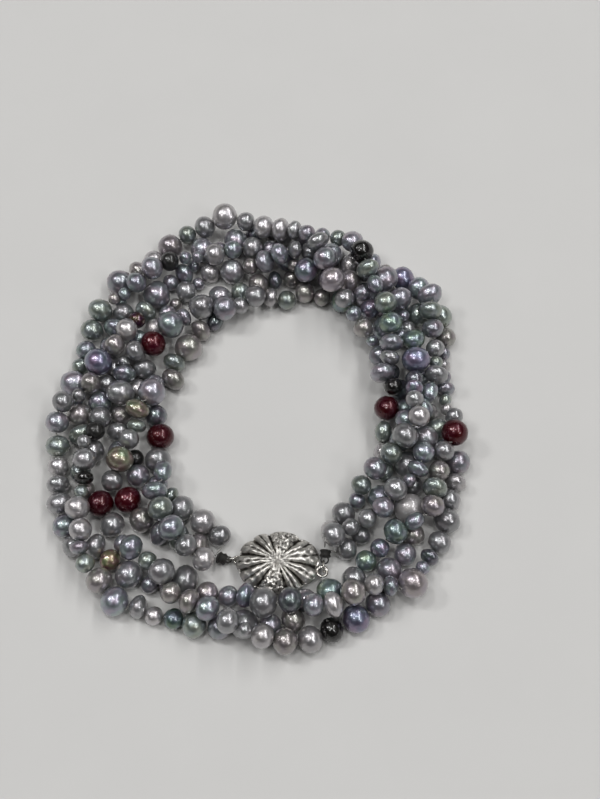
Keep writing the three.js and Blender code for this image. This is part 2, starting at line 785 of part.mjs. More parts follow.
/** Flower lid and box in one casting, with the slot for the tongue and its soldered loop. */
function addFlower() {
  const slotEnd = CLASP.x - BOX.halfWidth + SLOT.length;
  const slot = box(
    2 * SLOT.length,
    2 * SLOT.halfWidth,
    SLOT.top - SLOT.bottom,
    slotEnd - SLOT.length,
    CLASP.y + SLOT.y,
    (SLOT.top + SLOT.bottom) / 2,
  );
  const flower = solidOf(flowerGeometry()).subtract(solidOf(slot));
  const loop = solidOf(wireRing(RINGS.flowerLoop));
  addPiece('clasp_flower', geometryFrom(flower.add(loop)), SILVER);
}

/** Spring tongue that slides into the box, with its soldered loop. */
function addTongue() {
  const height = TONGUE.top - TONGUE.bottom;
  const middle = (TONGUE.top + TONGUE.bottom) / 2;
  const shoulder = CLASP.x - BOX.halfWidth + TONGUE_SHOULDER;
  const end = CLASP.x + TONGUE.end;
  const start = RINGS.tongueLoop.x + RINGS.tongueLoop.radius;
  const y = RINGS.tongueLoop.y;
  const leaf = box(end - shoulder, 2 * TONGUE.halfWidth, height, (end + shoulder) / 2, y, middle);
  const neck = box(shoulder - start, 2 * TONGUE.neck, height, (shoulder + start) / 2, y, middle);
  const loop = wireRing(RINGS.tongueLoop);
  const tongue = solidOf(leaf).add(solidOf(neck)).add(solidOf(loop));
  addPiece('clasp_tongue', geometryFrom(tongue), SILVER);
}

/** Wound body of a binding with its eye of thread, in one solid. */
function addBinding(name, { from, to, radius }, eye) {
  const start = new THREE.Vector3(...from);
  const way = new THREE.Vector3(...to).sub(start);
  const profile = [new THREE.Vector2(0, 0)];
  BINDING_PROFILE.forEach((ring) => {
    profile.push(new THREE.Vector2(ring.radius * radius, ring.along * way.length()));
  });
  profile.push(new THREE.Vector2(0, way.length()));
  const body = new THREE.LatheGeometry(profile, BINDING_SIDES);
  const turn = new THREE.Quaternion().setFromUnitVectors(
    new THREE.Vector3(0, 1, 0),
    way.clone().normalize(),
  );
  body.applyQuaternion(turn).translate(start.x, start.y, start.z);
  addPiece(name, geometryFrom(solidOf(body).add(solidOf(wireRing(eye)))), BLACK_THREAD);
}

strands.forEach((strand, index) => addStrand(strand, STRAND_NAMES[index]));
addFlower();
addTongue();
addPiece('jump_ring_left', wireRing(RINGS.jumpLeft), SILVER);
addPiece('jump_ring_right', wireRing(RINGS.jumpRight), SILVER);
addBinding('end_binding_left', BINDINGS.left, RINGS.eyeLeft);
addBinding('end_binding_right', BINDINGS.right, RINGS.eyeRight);

export default necklace;
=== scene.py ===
"""Looks of a layered necklace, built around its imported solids.

Three strands of dyed freshwater pearls are twisted round each other and lie in two turns round an
open middle. Black thread bindings gather their ends, and hang by jump rings on a cast silver
flower, which is the lid of a small box clasp. Sizes are in millimetres and turn into metres where
a mesh is made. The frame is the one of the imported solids, which stand on z = 0.
"""

from __future__ import annotations

import logging
import math
from dataclasses import dataclass, field
from enum import Enum
from typing import Any, Iterable, NamedTuple, Sequence

import bpy
import numpy as np
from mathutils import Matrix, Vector


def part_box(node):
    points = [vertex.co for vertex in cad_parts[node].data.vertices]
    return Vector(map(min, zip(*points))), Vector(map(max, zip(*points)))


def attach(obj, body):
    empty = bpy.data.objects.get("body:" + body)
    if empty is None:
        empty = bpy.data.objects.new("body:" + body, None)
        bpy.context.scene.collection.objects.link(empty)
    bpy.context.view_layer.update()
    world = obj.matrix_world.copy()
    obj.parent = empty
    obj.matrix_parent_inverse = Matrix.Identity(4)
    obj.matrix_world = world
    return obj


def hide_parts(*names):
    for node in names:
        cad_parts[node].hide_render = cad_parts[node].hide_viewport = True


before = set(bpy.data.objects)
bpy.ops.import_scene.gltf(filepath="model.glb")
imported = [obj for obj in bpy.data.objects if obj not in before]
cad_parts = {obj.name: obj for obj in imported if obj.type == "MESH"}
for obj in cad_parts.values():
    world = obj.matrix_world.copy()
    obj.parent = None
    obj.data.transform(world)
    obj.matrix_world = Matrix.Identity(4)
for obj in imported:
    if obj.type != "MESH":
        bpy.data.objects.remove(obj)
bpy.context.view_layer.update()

LOG = logging.getLogger("necklace")
MM = 0.001  # metres in a millimetre
TURN = 2 * math.pi
BODY = "root"  # nothing on the necklace moves on a joint
STRAND_NAMES = "abc"
OUTLINE_MIDDLE = (2.1, 3.5)  # of the whole necklace, from the middle of the bearings


# -------------------------------------------------------------------------------------------------
# Helpers for meshes, nodes and colours
# -------------------------------------------------------------------------------------------------


def colour(code: str) -> tuple[float, float, float, float]:
    """Turns an sRGB hex colour into the linear colour that a shader takes.

    Args:
        code: Colour as "#rrggbb".

    Returns:
        Linear red, green, blue and an alpha of 1.
    """
    shares = [int(code[place : place + 2], 16) / 255 for place in (1, 3, 5)]
    linear = [s / 12.92 if s <= 0.04045 else ((s + 0.055) / 1.055) ** 2.4 for s in shares]
    return (linear[0], linear[1], linear[2], 1.0)


def add_node(
    tree: bpy.types.NodeTree,
    kind: str,
    inputs: dict[str | int, Any] | None = None,
    **settings: Any,
) -> bpy.types.Node:
    """Adds a node to a tree, with its settings and its links.

    Args:
        tree: Tree that the node goes into.
        kind: Blender's name for the node.
        inputs: Values, sockets or nodes by the input's name or number. A node gives its first
            output.
        **settings: Properties of the node.

    Returns:
        The new node.
    """
    node = tree.nodes.new(kind)
    node.location = (190 * len(tree.nodes), 0)
    for name, value in settings.items():
        setattr(node, name, value)
    for name, value in (inputs or {}).items():
        if isinstance(value, bpy.types.Node):
            value = value.outputs[0]
        if isinstance(value, bpy.types.NodeSocket):
            tree.links.new(value, node.inputs[name])
        else:
            node.inputs[name].default_value = value
    return node


def maths(tree: bpy.types.NodeTree, operation: str, *values: Any) -> bpy.types.Node:
    """Adds a Math node that works on the values in their order."""
    return add_node(tree, "ShaderNodeMath", dict(enumerate(values)), operation=operation)


def vectors(tree: bpy.types.NodeTree, operation: str, *values: Any) -> bpy.types.Node:
    """Adds a Vector Math node that works on the values in their order."""
    return add_node(tree, "ShaderNodeVectorMath", dict(enumerate(values)), operation=operation)


def remap(
    tree: bpy.types.NodeTree,
    value: Any,
    given: tuple[Any, Any] = (0.0, 1.0),
    made: tuple[Any, Any] = (0.0, 1.0),
    **settings: Any,
) -> bpy.types.Node:
    """Adds a Map Range node.

    Args:
        tree: Tree that the node goes into.
        value: The value to be mapped.
        given: Both ends of the range that it comes in.
        made: What they become.
        **settings: Properties of the node.

    Returns:
        The new node.
    """
    ends = {"From Min": given[0], "From Max": given[1], "To Min": made[0], "To Max": made[1]}
    return add_node(tree, "ShaderNodeMapRange", {"Value": value, **ends}, **settings)


def noise(
    tree: bpy.types.NodeTree,
    place: Any,
    scale: float,
    detail: float,
    roughness: float = 0.5,
    seed: Any = None,
) -> bpy.types.Node:
    """Adds a noise texture.

    Args:
        tree: Tree that the node goes into.
        place: Where the noise is read.
        scale: Number of swells in a unit of the place.
        detail: Number of finer layers.
        roughness: Weight of the finer layers.
        seed: What sets one pearl's noise apart from the next one's, if anything does.

    Returns:
        The new node.
    """
    inputs = {"Vector": place, "Scale": scale, "Detail": detail, "Roughness": roughness}
    if seed is None:
        return add_node(tree, "ShaderNodeTexNoise", inputs)
    return add_node(tree, "ShaderNodeTexNoise", {**inputs, "W": seed}, noise_dimensions="4D")


def blend(
    tree: bpy.types.NodeTree, share: Any, first: Any, second: Any, kind: str = "MIX"
) -> bpy.types.NodeSocket:
    """Adds a mix of two colours, which are its inputs 6 and 7.

    Args:
        tree: Tree that the node goes into.
        share: Share of the second colour.
        first: The first colour.
        second: The second colour.
        kind: Blender's name for the way in which they mix.

    Returns:
        The socket of the mixed colour.
    """
    inputs = {0: share, 6: first, 7: second}
    settings = {"data_type": "RGBA", "blend_type": kind}
    return add_node(tree, "ShaderNodeMix", inputs, **settings).outputs[2]


def bump(tree: bpy.types.NodeTree, height: Any, strength: float, depth: float) -> bpy.types.Node:
    """Adds a bump, with its depth in millimetres."""
    inputs = {"Height": height, "Strength": strength, "Distance": depth * MM}
    return add_node(tree, "ShaderNodeBump", inputs)


def new_material(
    name: str,
) -> tuple[bpy.types.Material, bpy.types.NodeTree, bpy.types.NodeSocket]:
    """Starts a material.

    Args:
        name: Name of the material.

    Returns:
        The material, its node tree, and the socket of the place in the room, in metres.
    """
    material = bpy.data.materials.new(name)
    material.use_nodes = True
    tree = material.node_tree
    tree.nodes.clear()
    return material, tree, add_node(tree, "ShaderNodeTexCoord").outputs["Object"]


def end_material(tree: bpy.types.NodeTree, inputs: dict[str | int, Any]) -> None:
    """Ends a material's tree with a Principled shader that has these inputs."""
    shader = add_node(tree, "ShaderNodeBsdfPrincipled", inputs)
    add_node(tree, "ShaderNodeOutputMaterial", {"Surface": shader})


def sweep_faces(
    levels: int, sides: int, first: int = 0, turned: bool = False
) -> list[tuple[int, ...]]:
    """Gives the faces between rings of corners that are piled on each other.

    Args:
        levels: Number of rings.
        sides: Corners in a ring.
        first: Number of the first ring's first corner.
        turned: True where the outside is on the other side, as on rings that lie round each
            other and face up.

    Returns:
        Corner numbers of each face.
    """
    faces: list[tuple[int, ...]] = []
    for level in range(levels - 1):
        low = first + level * sides
        high = low + sides
        for side in range(sides):
            after = (side + 1) % sides
            face = (low + side, low + after, high + after, high + side)
            faces.append((face[0], *face[:0:-1]) if turned else face)
    return faces


def new_piece(
    name: str,
    corners: Iterable[Sequence[float]],
    faces: Iterable[Sequence[int]] = (),
    edges: Iterable[Sequence[int]] = (),
    finish: bpy.types.Material | None = None,
) -> bpy.types.Object:
    """Puts a smooth-shaded mesh into the scene as an object at the origin.

    Args:
        name: Name of the piece.
        corners: Corner positions in millimetres of the route's frame.
        faces: Corner numbers of each face.
        edges: Corner numbers of each loose edge.
        finish: Its material, if it has one already.

    Returns:
        The piece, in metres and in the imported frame.
    """
    mesh = bpy.data.meshes.new(name)
    places = [
        ((x - OUTLINE_MIDDLE[0]) * MM, (y - OUTLINE_MIDDLE[1]) * MM, z * MM) for x, y, z in corners
    ]
    mesh.from_pydata(places, [tuple(e) for e in edges], [tuple(f) for f in faces])
    mesh.shade_smooth()
    mesh.update()
    if finish:
        mesh.materials.append(finish)
    piece = bpy.data.objects.new(name, mesh)
    bpy.context.scene.collection.objects.link(piece)
    return piece


def store(mesh: bpy.types.Mesh, name: str, kind: str, values: np.ndarray) -> None:
    """Stores one value for each corner of a mesh.

    Args:
        mesh: Mesh that gets the attribute.
        name: Name of the attribute.
        kind: FLOAT, FLOAT_VECTOR or FLOAT_COLOR.
        values: The values, a row for each corner.
    """
    attribute = mesh.attributes.new(name, kind, "POINT")
    key = {"FLOAT": "value", "FLOAT_VECTOR": "vector", "FLOAT_COLOR": "color"}[kind]
    attribute.data.foreach_set(key, np.asarray(values, np.float32).ravel())


def bake(piece: bpy.types.Object) -> None:
    """Turns what a piece's modifiers make of it into its plain mesh, and removes them.

    Args:
        piece: Object with modifiers.
    """
    graph = bpy.context.evaluated_depsgraph_get()
    made = bpy.data.meshes.new_from_object(
        piece.evaluated_get(graph), preserve_all_data_layers=True, depsgraph=graph
    )
    piece.modifiers.clear()
    start = piece.data
    piece.data = made
    made.name = piece.name
    bpy.data.meshes.remove(start)


def run_nodes(piece: bpy.types.Object, tree: bpy.types.NodeTree, values: dict[str, Any]) -> None:
    """Runs a node tree on a piece and keeps the result as its plain mesh.

    Args:
        piece: Object whose mesh the tree starts from.
        tree: Geometry node tree.
        values: Values of the tree's named inputs.
    """
    modifier = piece.modifiers.new(tree.name, "NODES")
    modifier.node_group = tree
    for item in tree.interface.items_tree:
        if item.item_type == "SOCKET" and item.in_out == "INPUT" and item.name in values:
            modifier[item.identifier] = values[item.name]
    piece.update_tag()
    bake(piece)


def join(target: bpy.types.Object, *others: bpy.types.Object) -> bpy.types.Object:
    """Joins pieces into the first one.

    Args:
        target: Piece that takes the others in.
        *others: Pieces that end with it.

    Returns:
        The joined piece.
    """
    with bpy.context.temp_override(
        active_object=target, object=target, selected_editable_objects=[target, *others]
    ):
        bpy.ops.object.join()
    return target


def new_tree(name: str, sockets: Sequence[tuple[str, str]]) -> bpy.types.NodeTree:
    """Starts a geometry node tree with one geometry input, named inputs and a geometry output.

    Args:
        name: Name of the tree.
        sockets: Names and socket kinds of the inputs after the geometry.

    Returns:
        The tree.
    """
    tree = bpy.data.node_groups.new(name, "GeometryNodeTree")
    tree.interface.new_socket("Start", in_out="INPUT", socket_type="NodeSocketGeometry")
    for label, kind in sockets:
        tree.interface.new_socket(label, in_out="INPUT", socket_type=f"NodeSocket{kind}")
    tree.interface.new_socket("Piece", in_out="OUTPUT", socket_type="NodeSocketGeometry")
    return tree


def end_tree(tree: bpy.types.NodeTree, shape: bpy.types.Node, finish: Any) -> None:
    """Ends a geometry node tree: smooth, made real, and given its material.

    Args:
        tree: The tree.
        shape: Node that gives the finished shape.
        finish: Socket of the material.
    """
    smooth = add_node(tree, "GeometryNodeSetShadeSmooth", {"Geometry": shape})
    real = add_node(tree, "GeometryNodeRealizeInstances", {"Geometry": smooth})
    inputs = {"Geometry": real, "Material": finish}
    add_node(tree, "NodeGroupOutput", {0: add_node(tree, "GeometryNodeSetMaterial", inputs)})


# -------------------------------------------------------------------------------------------------
# Route of the strands, the same as in the solids
# -------------------------------------------------------------------------------------------------


@dataclass(slots=True)
class Spot:
    """A place or a direction, in millimetres."""

    x: float
    y: float
    z: float

    def distance(self, other: Spot) -> float:
        """Measures the distance to another spot.

        Args:
            other: The other spot.

        Returns:
            The distance in millimetres.
        """
        x = self.x - other.x
        y = self.y - other.y
        z = self.z - other.z
        return math.sqrt(x * x + y * y + z * z)

    def row(self) -> tuple[float, float, float]:
        """Gives the three numbers as a tuple."""
        return (self.x, self.y, self.z)

    def towards(self, way: Spot, reach: float) -> tuple[float, float, float]:
        """Gives the place at a reach along a direction."""
        return (self.x + way.x * reach, self.y + way.y * reach, self.z + way.z * reach)

    def between(self, other: Spot, share: float) -> Spot:
        """Gives the spot on the line to another one.

        Args:
            other: The other spot.
            share: Share of the way to it; more than 1 past it.

        Returns:
            The spot there.
        """
        return Spot(
            self.x + (other.x - self.x) * share,
            self.y + (other.y - self.y) * share,
            self.z + (other.z - self.z) * share,
        )

    def way_to(self, other: Spot, distance: float) -> Spot:
        """Gives the direction to another spot.

        Args:
            other: The other spot.
            distance: How far away it is.

        Returns:
            The direction, with a length of 1.
        """
        return Spot(
            (other.x - self.x) / distance,
            (other.y - self.y) / distance,
            (other.z - self.z) / distance,
        )


def table_value(rows: Sequence[Any], column: str, place: float) -> float:
    """Reads a column of a table between its rows, on a smooth curve through all of them.

    Args:
        rows: Rows of the table.
        column: Name of the column.
        place: Number of the row, with its share of the way to the next one.

    Returns:
        The value there.
    """
    last = len(rows) - 1
    row = min(math.floor(place), last - 1)
    share = place - row
    nearest = [rows[max(0, min(row + step, last))] for step in (-1, 0, 1, 2)]
    before, start, end, after = (getattr(near, column) for near in nearest)
    slope = end - before
    bend = 2 * before - 5 * start + 4 * end - after
    twist = 3 * start - 3 * end + after - before
    return start + (share * (slope + share * (bend + share * twist))) / 2


class Station(NamedTuple):
    """A station of the bundle: the middle line's radius and height, half width, and twist."""

    radius: float
    lift: float
    spread: float
    twist: float


STATIONS = (
    Station(32.0, 2.6, 0.5, 0.0),
    Station(30.0, 4.6, 3.7, 0.18),
    Station(28.0, 4.8, 4.3, 0.38),
    Station(27.6, 4.8, 4.8, 0.58),
    Station(29.5, 4.8, 5.2, 0.75),
    Station(32.8, 4.8, 6.4, 0.9),
    Station(37.2, 4.8, 7.0, 1.0),
    Station(43.1, 4.8, 5.6, 1.12),
    Station(50.4, 4.6, 4.6, 1.3),
    Station(52.0, 4.6, 4.2, 1.5),
    Station(43.6, 4.8, 3.8, 1.7),
    Station(46.4, 4.8, 4.2, 1.9),
    Station(48.6, 4.8, 4.6, 2.1),
    Station(47.4, 4.8, 4.6, 2.3),
    Station(45.2, 4.8, 4.2, 2.48),
    Station(44.4, 4.8, 4.2, 2.66),
    Station(45.7, 4.8, 4.3, 2.84),
    Station(41.6, 4.8, 4.4, 3.02),
    Station(40.2, 4.8, 4.4, 3.2),
    Station(43.6, 4.8, 5.0, 3.4),
    Station(49.6, 4.8, 5.0, 3.6),
    Station(53.0, 6.5, 4.8, 3.8),
    Station(50.2, 9.6, 4.6, 4.0),
    Station(43.4, 9.6, 4.2, 4.2),
    Station(39.4, 8.6, 4.2, 4.4),
    Station(37.8, 7.2, 4.4, 4.6),
    Station(35.2, 5.4, 4.4, 4.8),
    Station(34.3, 2.6, 0.5, 5.0),
)


@dataclass(frozen=True)
class BundleRoute:
    """Route of the bundle round its two turns, and of each strand round the bundle's middle."""

    first_bearing: float = -103  # degrees, of the left binding
    station_step: float = -25  # degrees from one station to the next, clockwise
    strand_rise: float = 2.7  # half the height over which the strands part
    wander: float = 2.0  # mm that a strand strays sideways, in two waves
    wander_waves: tuple[float, float] = (0.87, 1.33)  # turns to a station
    wander_shift: float = 0.37  # turns, between one strand's waves and the next one's
    trace_steps: int = 16  # samples of a strand's path between two stations
    nudge: float = 0.02  # stations, half the step over which the heading is taken

    @property
    def last(self) -> int:
        """Gives the number of the last station."""
        return len(STATIONS) - 1

    def middle(self, place: float) -> Spot:
        """Gives the middle of the bundle.

        Args:
            place: Place along the route, in stations.

        Returns:
            The point.
        """
        bearing = ((self.first_bearing + self.station_step * place) * TURN) / 360
        radius = table_value(STATIONS, "radius", place)
        lift = table_value(STATIONS, "lift", place)
        return Spot(radius * math.cos(bearing), radius * math.sin(bearing), lift)

    def strand_point(self, strand: int, place: float) -> Spot:
        """Gives a point of one strand, which winds round the middle of the bundle.

        Args:
            strand: Number of the strand.
            place: Place along the route, in stations.

        Returns:
            The point.
        """
        middle = self.middle(place)
        ahead = self.middle(min(place + self.nudge, self.last))
        behind = self.middle(max(place - self.nudge, 0))
        run_x = ahead.x - behind.x
        run_y = ahead.y - behind.y
        length = math.sqrt(run_x * run_x + run_y * run_y)
        phase = TURN * (strand / len(STRAND_NAMES) + table_value(STATIONS, "twist", place))
        spread = table_value(STATIONS, "spread", place)
        waves = [
            math.sin(TURN * (rate * place + self.wander_shift * strand))
            for rate in self.wander_waves
        ]
        ease = min(1, place, self.last - place)
        outward = spread * math.cos(phase) + (self.wander * ease * (waves[0] + waves[1])) / 2
        return Spot(
            middle.x - (run_y / length) * outward,
            middle.y + (run_x / length) * outward,
            middle.z + min(spread, self.strand_rise) * math.sin(phase),
        )

    def trace(self, strand: int) -> list[tuple[Spot, float]]:
        """Traces a strand as points, each with its distance along the thread.

        Args:
            strand: Number of the strand.

        Returns:
            The points and their distances.
        """
        points = [(self.strand_point(strand, 0), 0.0)]
        for step in range(1, self.last * self.trace_steps + 1):
            point = self.strand_point(strand, step / self.trace_steps)
            last, distance = points[-1]
            points.append((point, distance + point.distance(last)))
        return points


# -------------------------------------------------------------------------------------------------
# Tones and forms of the pearls
# -------------------------------------------------------------------------------------------------


class Dye(NamedTuple):
    """A dye: colours of the body and of the lustre's overtone, and its material slot."""

    body: str
    overtone: str
    slot: str


class Tone(Enum):
    """Tones of the dyed pearls."""

    SILVER = Dye("#7d7b79", "#95959a", "pearl_grey")
    LAVENDER = Dye("#7a7878", "#9491a1", "pearl_grey")
    BLUE = Dye("#747575", "#8c94a1", "pearl_grey")
    GREEN = Dye("#757573", "#8b9991", "pearl_grey")
    BROWN = Dye("#7e7a76", "#9c9492", "pearl_grey")
    SLATE = Dye("#49494b", "#676c77", "pearl_grey")
    GREY = Dye("#7a7876", "#94949e", "pearl_grey")
    PALE = Dye("#a6a29f", "#b4afb3", "pearl_pale")
    VIOLET = Dye("#6c6a6f", "#817d9a", "pearl_violet")
    ROSE = Dye("#7d7778", "#a0949a", "pearl_rose")
    PEACOCK = Dye("#646666", "#79968e", "pearl_peacock")
    BLACK = Dye("#0d0c0b", "#242220", "pearl_black")
    WINE = Dye("#1f0408", "#571723", "pearl_wine")
    OLIVE = Dye("#76725f", "#968f72", "pearl_grey")
    BRONZE = Dye("#74624f", "#a38664", "pearl_grey")
    BOTTLE = Dye("#3a4140", "#53706c", "pearl_grey")


class Growth(NamedTuple):
    """How a pearl grew, in shares of its radius."""

    ring_depth: float
    ring_count: float  # rings from end to end
    taper: float  # by how much one end is slimmer and the other one fatter
    unevenness: float  # of the skin
    flat_depth: float  # depth of its flat side


class Form(Enum):
    """Forms in which freshwater pearls grow."""

    ROUND = Growth(0.0, 0.0, 0.02, 0.06, 0.0)
    POTATO = Growth(0.006, 2.0, 0.07, 0.14, 0.06)
    RINGED = Growth(0.008, 3.5, 0.05, 0.08, 0.0)
    BUTTON = Growth(0.008, 3.0, 0.04, 0.08, 0.12)
    RICE = Growth(0.010, 3.0, 0.09, 0.07, 0.0)
    DIMPLED = Growth(0.0, 0.0, 0.04, 0.16, 0.16)


# Attributes in which a mesh keeps where and how each pearl lies.
VECTOR_LABELS = ("pearl_place", "pearl_size", "pearl_seat", "thread_way", "flat_way")


class Single(NamedTuple):
    """A pearl that is a solid of its own: strand, sweep in degrees, width, length and tone."""

    strand: str
    sweep: float
    across: float
    along: float
    tone: Tone


class Accent(NamedTuple):
    """A pearl on a stretch that stands out by its tone."""

    strand: str
    sweep: float
    tone: Tone
    form: Form | None = None


class Kind(NamedTuple):
    """A size of pearl on the strands, and its share of them."""

    across: float
    along: float
    share: float


@dataclass(slots=True)
class Pearl:
    """One pearl on its thread."""

    strand: int
    across: float
    along: float
    middle: float
    tone: Tone | None
    sweep: float = 0.0
    form: Form = Form.ROUND
    dye: Tone = Tone.SILVER
    route: Spot = field(default_factory=lambda: Spot(0, 0, 0))
    seat: Spot = field(default_factory=lambda: Spot(0, 0, 0))
    axis: Spot = field(default_factory=lambda: Spot(0, 0, 1))

    def skin(self, way: Spot) -> float:
        """Measures the plain round or oval pearl from its middle to its skin.

        Args:
            way: Direction, with a length of 1.

        Returns:
            The distance in millimetres.
        """
        cosine = self.axis.x * way.x + self.axis.y * way.y + self.axis.z * way.z
        flatness = self.across / self.along
        return self.across / 2 / math.sqrt(1 + cosine * cosine * (flatness * flatness - 1))


@dataclass
class Strand:
    """One strand: its pearls in order, the ends of its thread, and how far it is let out."""

    pearls: list[Pearl]
    anchors: tuple[Spot, Spot]
    stretch: float


class Dice:
    """Park-Miller dice: the same seed always strings the same pearls."""

    def __init__(self, seed: int) -> None:
        """Starts the dice at a seed."""
        self.state = seed

    def roll(self) -> float:
        """Gives the next number from 0 to 1."""
        self.state = (self.state * 16807) % 2147483647
        return self.state / 2147483647


@dataclass(frozen=True)
class Stringing:
    """Order of the pearls on the threads."""

    size_variation: float = 0.16  # of a pearl's size, from the smallest of its kind to the largest
    seed: int = 23
    thread_gap: float = 0.2  # between neighbours on one thread
    end_thread: float = 2.2  # bare thread from the binding to the first pearl
    kinds: tuple[Kind, ...] = (
        Kind(5.9, 5.3, 0.24),
        Kind(6.6, 6.0, 0.12),
        Kind(5.2, 4.8, 0.22),
        Kind(6.0, 4.2, 0.12),
        Kind(4.3, 4.0, 0.11),
        Kind(4.0, 5.2, 0.05),
        Kind(3.2, 2.9, 0.09),
        Kind(4.8, 3.2, 0.05),
    )
    singles: tuple[Single, ...] = (
        Single("a", 64, 6.6, 6.0, Tone.WINE),
        Single("a", 160, 6.4, 6.0, Tone.GREY),
        Single("a", 229, 6.0, 5.6, Tone.GREY),
        Single("a", 300, 7.0, 6.6, Tone.ROSE),
        Single("a", 379, 6.6, 6.2, Tone.GREY),
        Single("a", 452, 6.8, 6.4, Tone.VIOLET),
        Single("a", 536, 6.2, 5.8, Tone.GREY),
        Single("a", 604, 6.2, 5.8, Tone.WINE),
        Single("b", 59, 4.4, 4.2, Tone.BLACK),
        Single("b", 114, 6.4, 6.0, Tone.WINE),
        Single("b", 190, 6.0, 5.6, Tone.PEACOCK),
        Single("b", 257, 6.4, 6.0, Tone.WINE),
        Single("b", 320, 6.4, 6.2, Tone.PEACOCK),
        Single("b", 433, 4.6, 4.4, Tone.BLACK),
        Single("b", 503, 6.4, 6.0, Tone.ROSE),
        Single("b", 556, 6.4, 6.0, Tone.ROSE),
        Single("b", 612, 6.0, 5.6, Tone.GREY),
        Single("c", 39, 6.4, 6.0, Tone.WINE),
        Single("c", 150, 6.2, 5.8, Tone.GREY),
        Single("c", 207, 6.4, 6.0, Tone.VIOLET),
        Single("c", 276, 7.4, 6.8, Tone.PALE),
        Single("c", 311, 6.6, 6.2, Tone.VIOLET),
        Single("c", 406, 6.4, 6.0, Tone.WINE),
        Single("c", 493, 4.9, 4.6, Tone.BLACK),
        Single("c", 589, 7.0, 6.0, Tone.VIOLET),
    )

    def pick_kind(self, dice: Dice) -> Kind:
        """Draws a size of pearl.

        Args:
            dice: Dice that all three strands share.

        Returns:
            The size.
        """
        left = dice.roll()
        for kind in self.kinds:
            left -= kind.share
            if left < 0:
                return kind
        return self.kinds[0]

    def string(self, strand: int, route: BundleRoute, dice: Dice) -> Strand:
        """Strings the pearls of one strand, each with its place on the path.

        Args:
            strand: Number of the strand.
            route: Route of the bundle.
            dice: Dice that all three strands share.

        Returns:
            The strand.
        """
        path = route.trace(strand)
        end = path[-1][1] - self.end_thread
        steps = route.trace_steps / -route.station_step
        waiting = [single for single in self.singles if single.strand == STRAND_NAMES[strand]]
        pearls: list[Pearl] = []
        cursor = self.end_thread
        while True:
            due = False
            if waiting:
                start = path[math.floor(waiting[0].sweep * steps + 0.5)][1]
                due = start - waiting[0].along / 2 <= cursor
            tone = waiting[0].tone if due else None
            kind = waiting.pop(0) if due else self.pick_kind(dice)
            scale = 1 if due else 1 + self.size_variation * (dice.roll() - 0.5)
            along = kind.along * scale
            if cursor + along > end:
                break
            pearls.append(Pearl(strand, kind.across * scale, along, cursor + along / 2, tone))
            cursor += along + self.thread_gap
        stretch = (end - self.end_thread) / (cursor - self.thread_gap - self.end_thread)
        for pearl in pearls:
            reach = self.end_thread + (pearl.middle - self.end_thread) * stretch
            after = 1
            while after < len(path) - 1 and path[after][1] < reach:
                after += 1
            (spot, passed), (ahead, later) = path[after - 1], path[after]
            share = (reach - passed) / (later - passed)
            pearl.route = spot.between(ahead, share)
            pearl.seat = Spot(*pearl.route.row())
            pearl.sweep = (after - 1 + share) / steps
        return Strand(pearls, (path[0][0], path[-1][0]), stretch)


# -------------------------------------------------------------------------------------------------
# Sizes of the clasp, the same as in the solids
# -------------------------------------------------------------------------------------------------


class Oval(NamedTuple):
    """Half the width and half the depth of an oval."""

    half_width: float
    half_depth: float


@dataclass(frozen=True)
class RingPlace:
    """A ring of wire or thread: middle, radius of its middle line, its wire, and its axis."""

    x: float
    y: float
    z: float
    radius: float
    wire: float
    axis: str


@dataclass(frozen=True)
class BindingPlace:
    """Where the wound body of a binding starts and ends, and its radius."""

    start: tuple[float, float, float]
    end: tuple[float, float, float]
    radius: float


CLASP_MIDDLE = (7.2, -32.9)
CLASP_HEIGHT = 5.6
FLOWER_OVAL = Oval(9.3, 7.0)
BOX_OVAL = Oval(6.6, 4.8)
RIM_BOTTOM = 2.4
RIM_TOP = 3.2
CONTACT_GAP = 0.25  # between pearls of different strands
TONGUE_LOOP = RingPlace(-2.3, -31.7, 1.5, 0.75, 0.25, "z")
JUMP_LEFT = RingPlace(-3.35, -31.7, 1.5, 1.0, 0.25, "y")
EYE_LEFT = RingPlace(-4.35, -31.7, 1.5, 0.7, 0.2, "z")
FLOWER_LOOP = RingPlace(17.35, -34.9, 2.8, 1.15, 0.35, "z")
JUMP_RIGHT = RingPlace(17.75, -33.7, 2.7, 1.25, 0.25, "x")
EYE_RIGHT = RingPlace(18.0, -32.1, 2.7, 0.85, 0.2, "z")
RINGS = (TONGUE_LOOP, JUMP_LEFT, EYE_LEFT, FLOWER_LOOP, JUMP_RIGHT, EYE_RIGHT)
BINDING_LEFT = BindingPlace((-4.95, -31.7, 1.6), (-6.7, -31.3, 2.4), 1.5)
BINDING_RIGHT = BindingPlace((18.1, -31.4, 2.7), (18.3, -29.8, 2.7), 1.4)


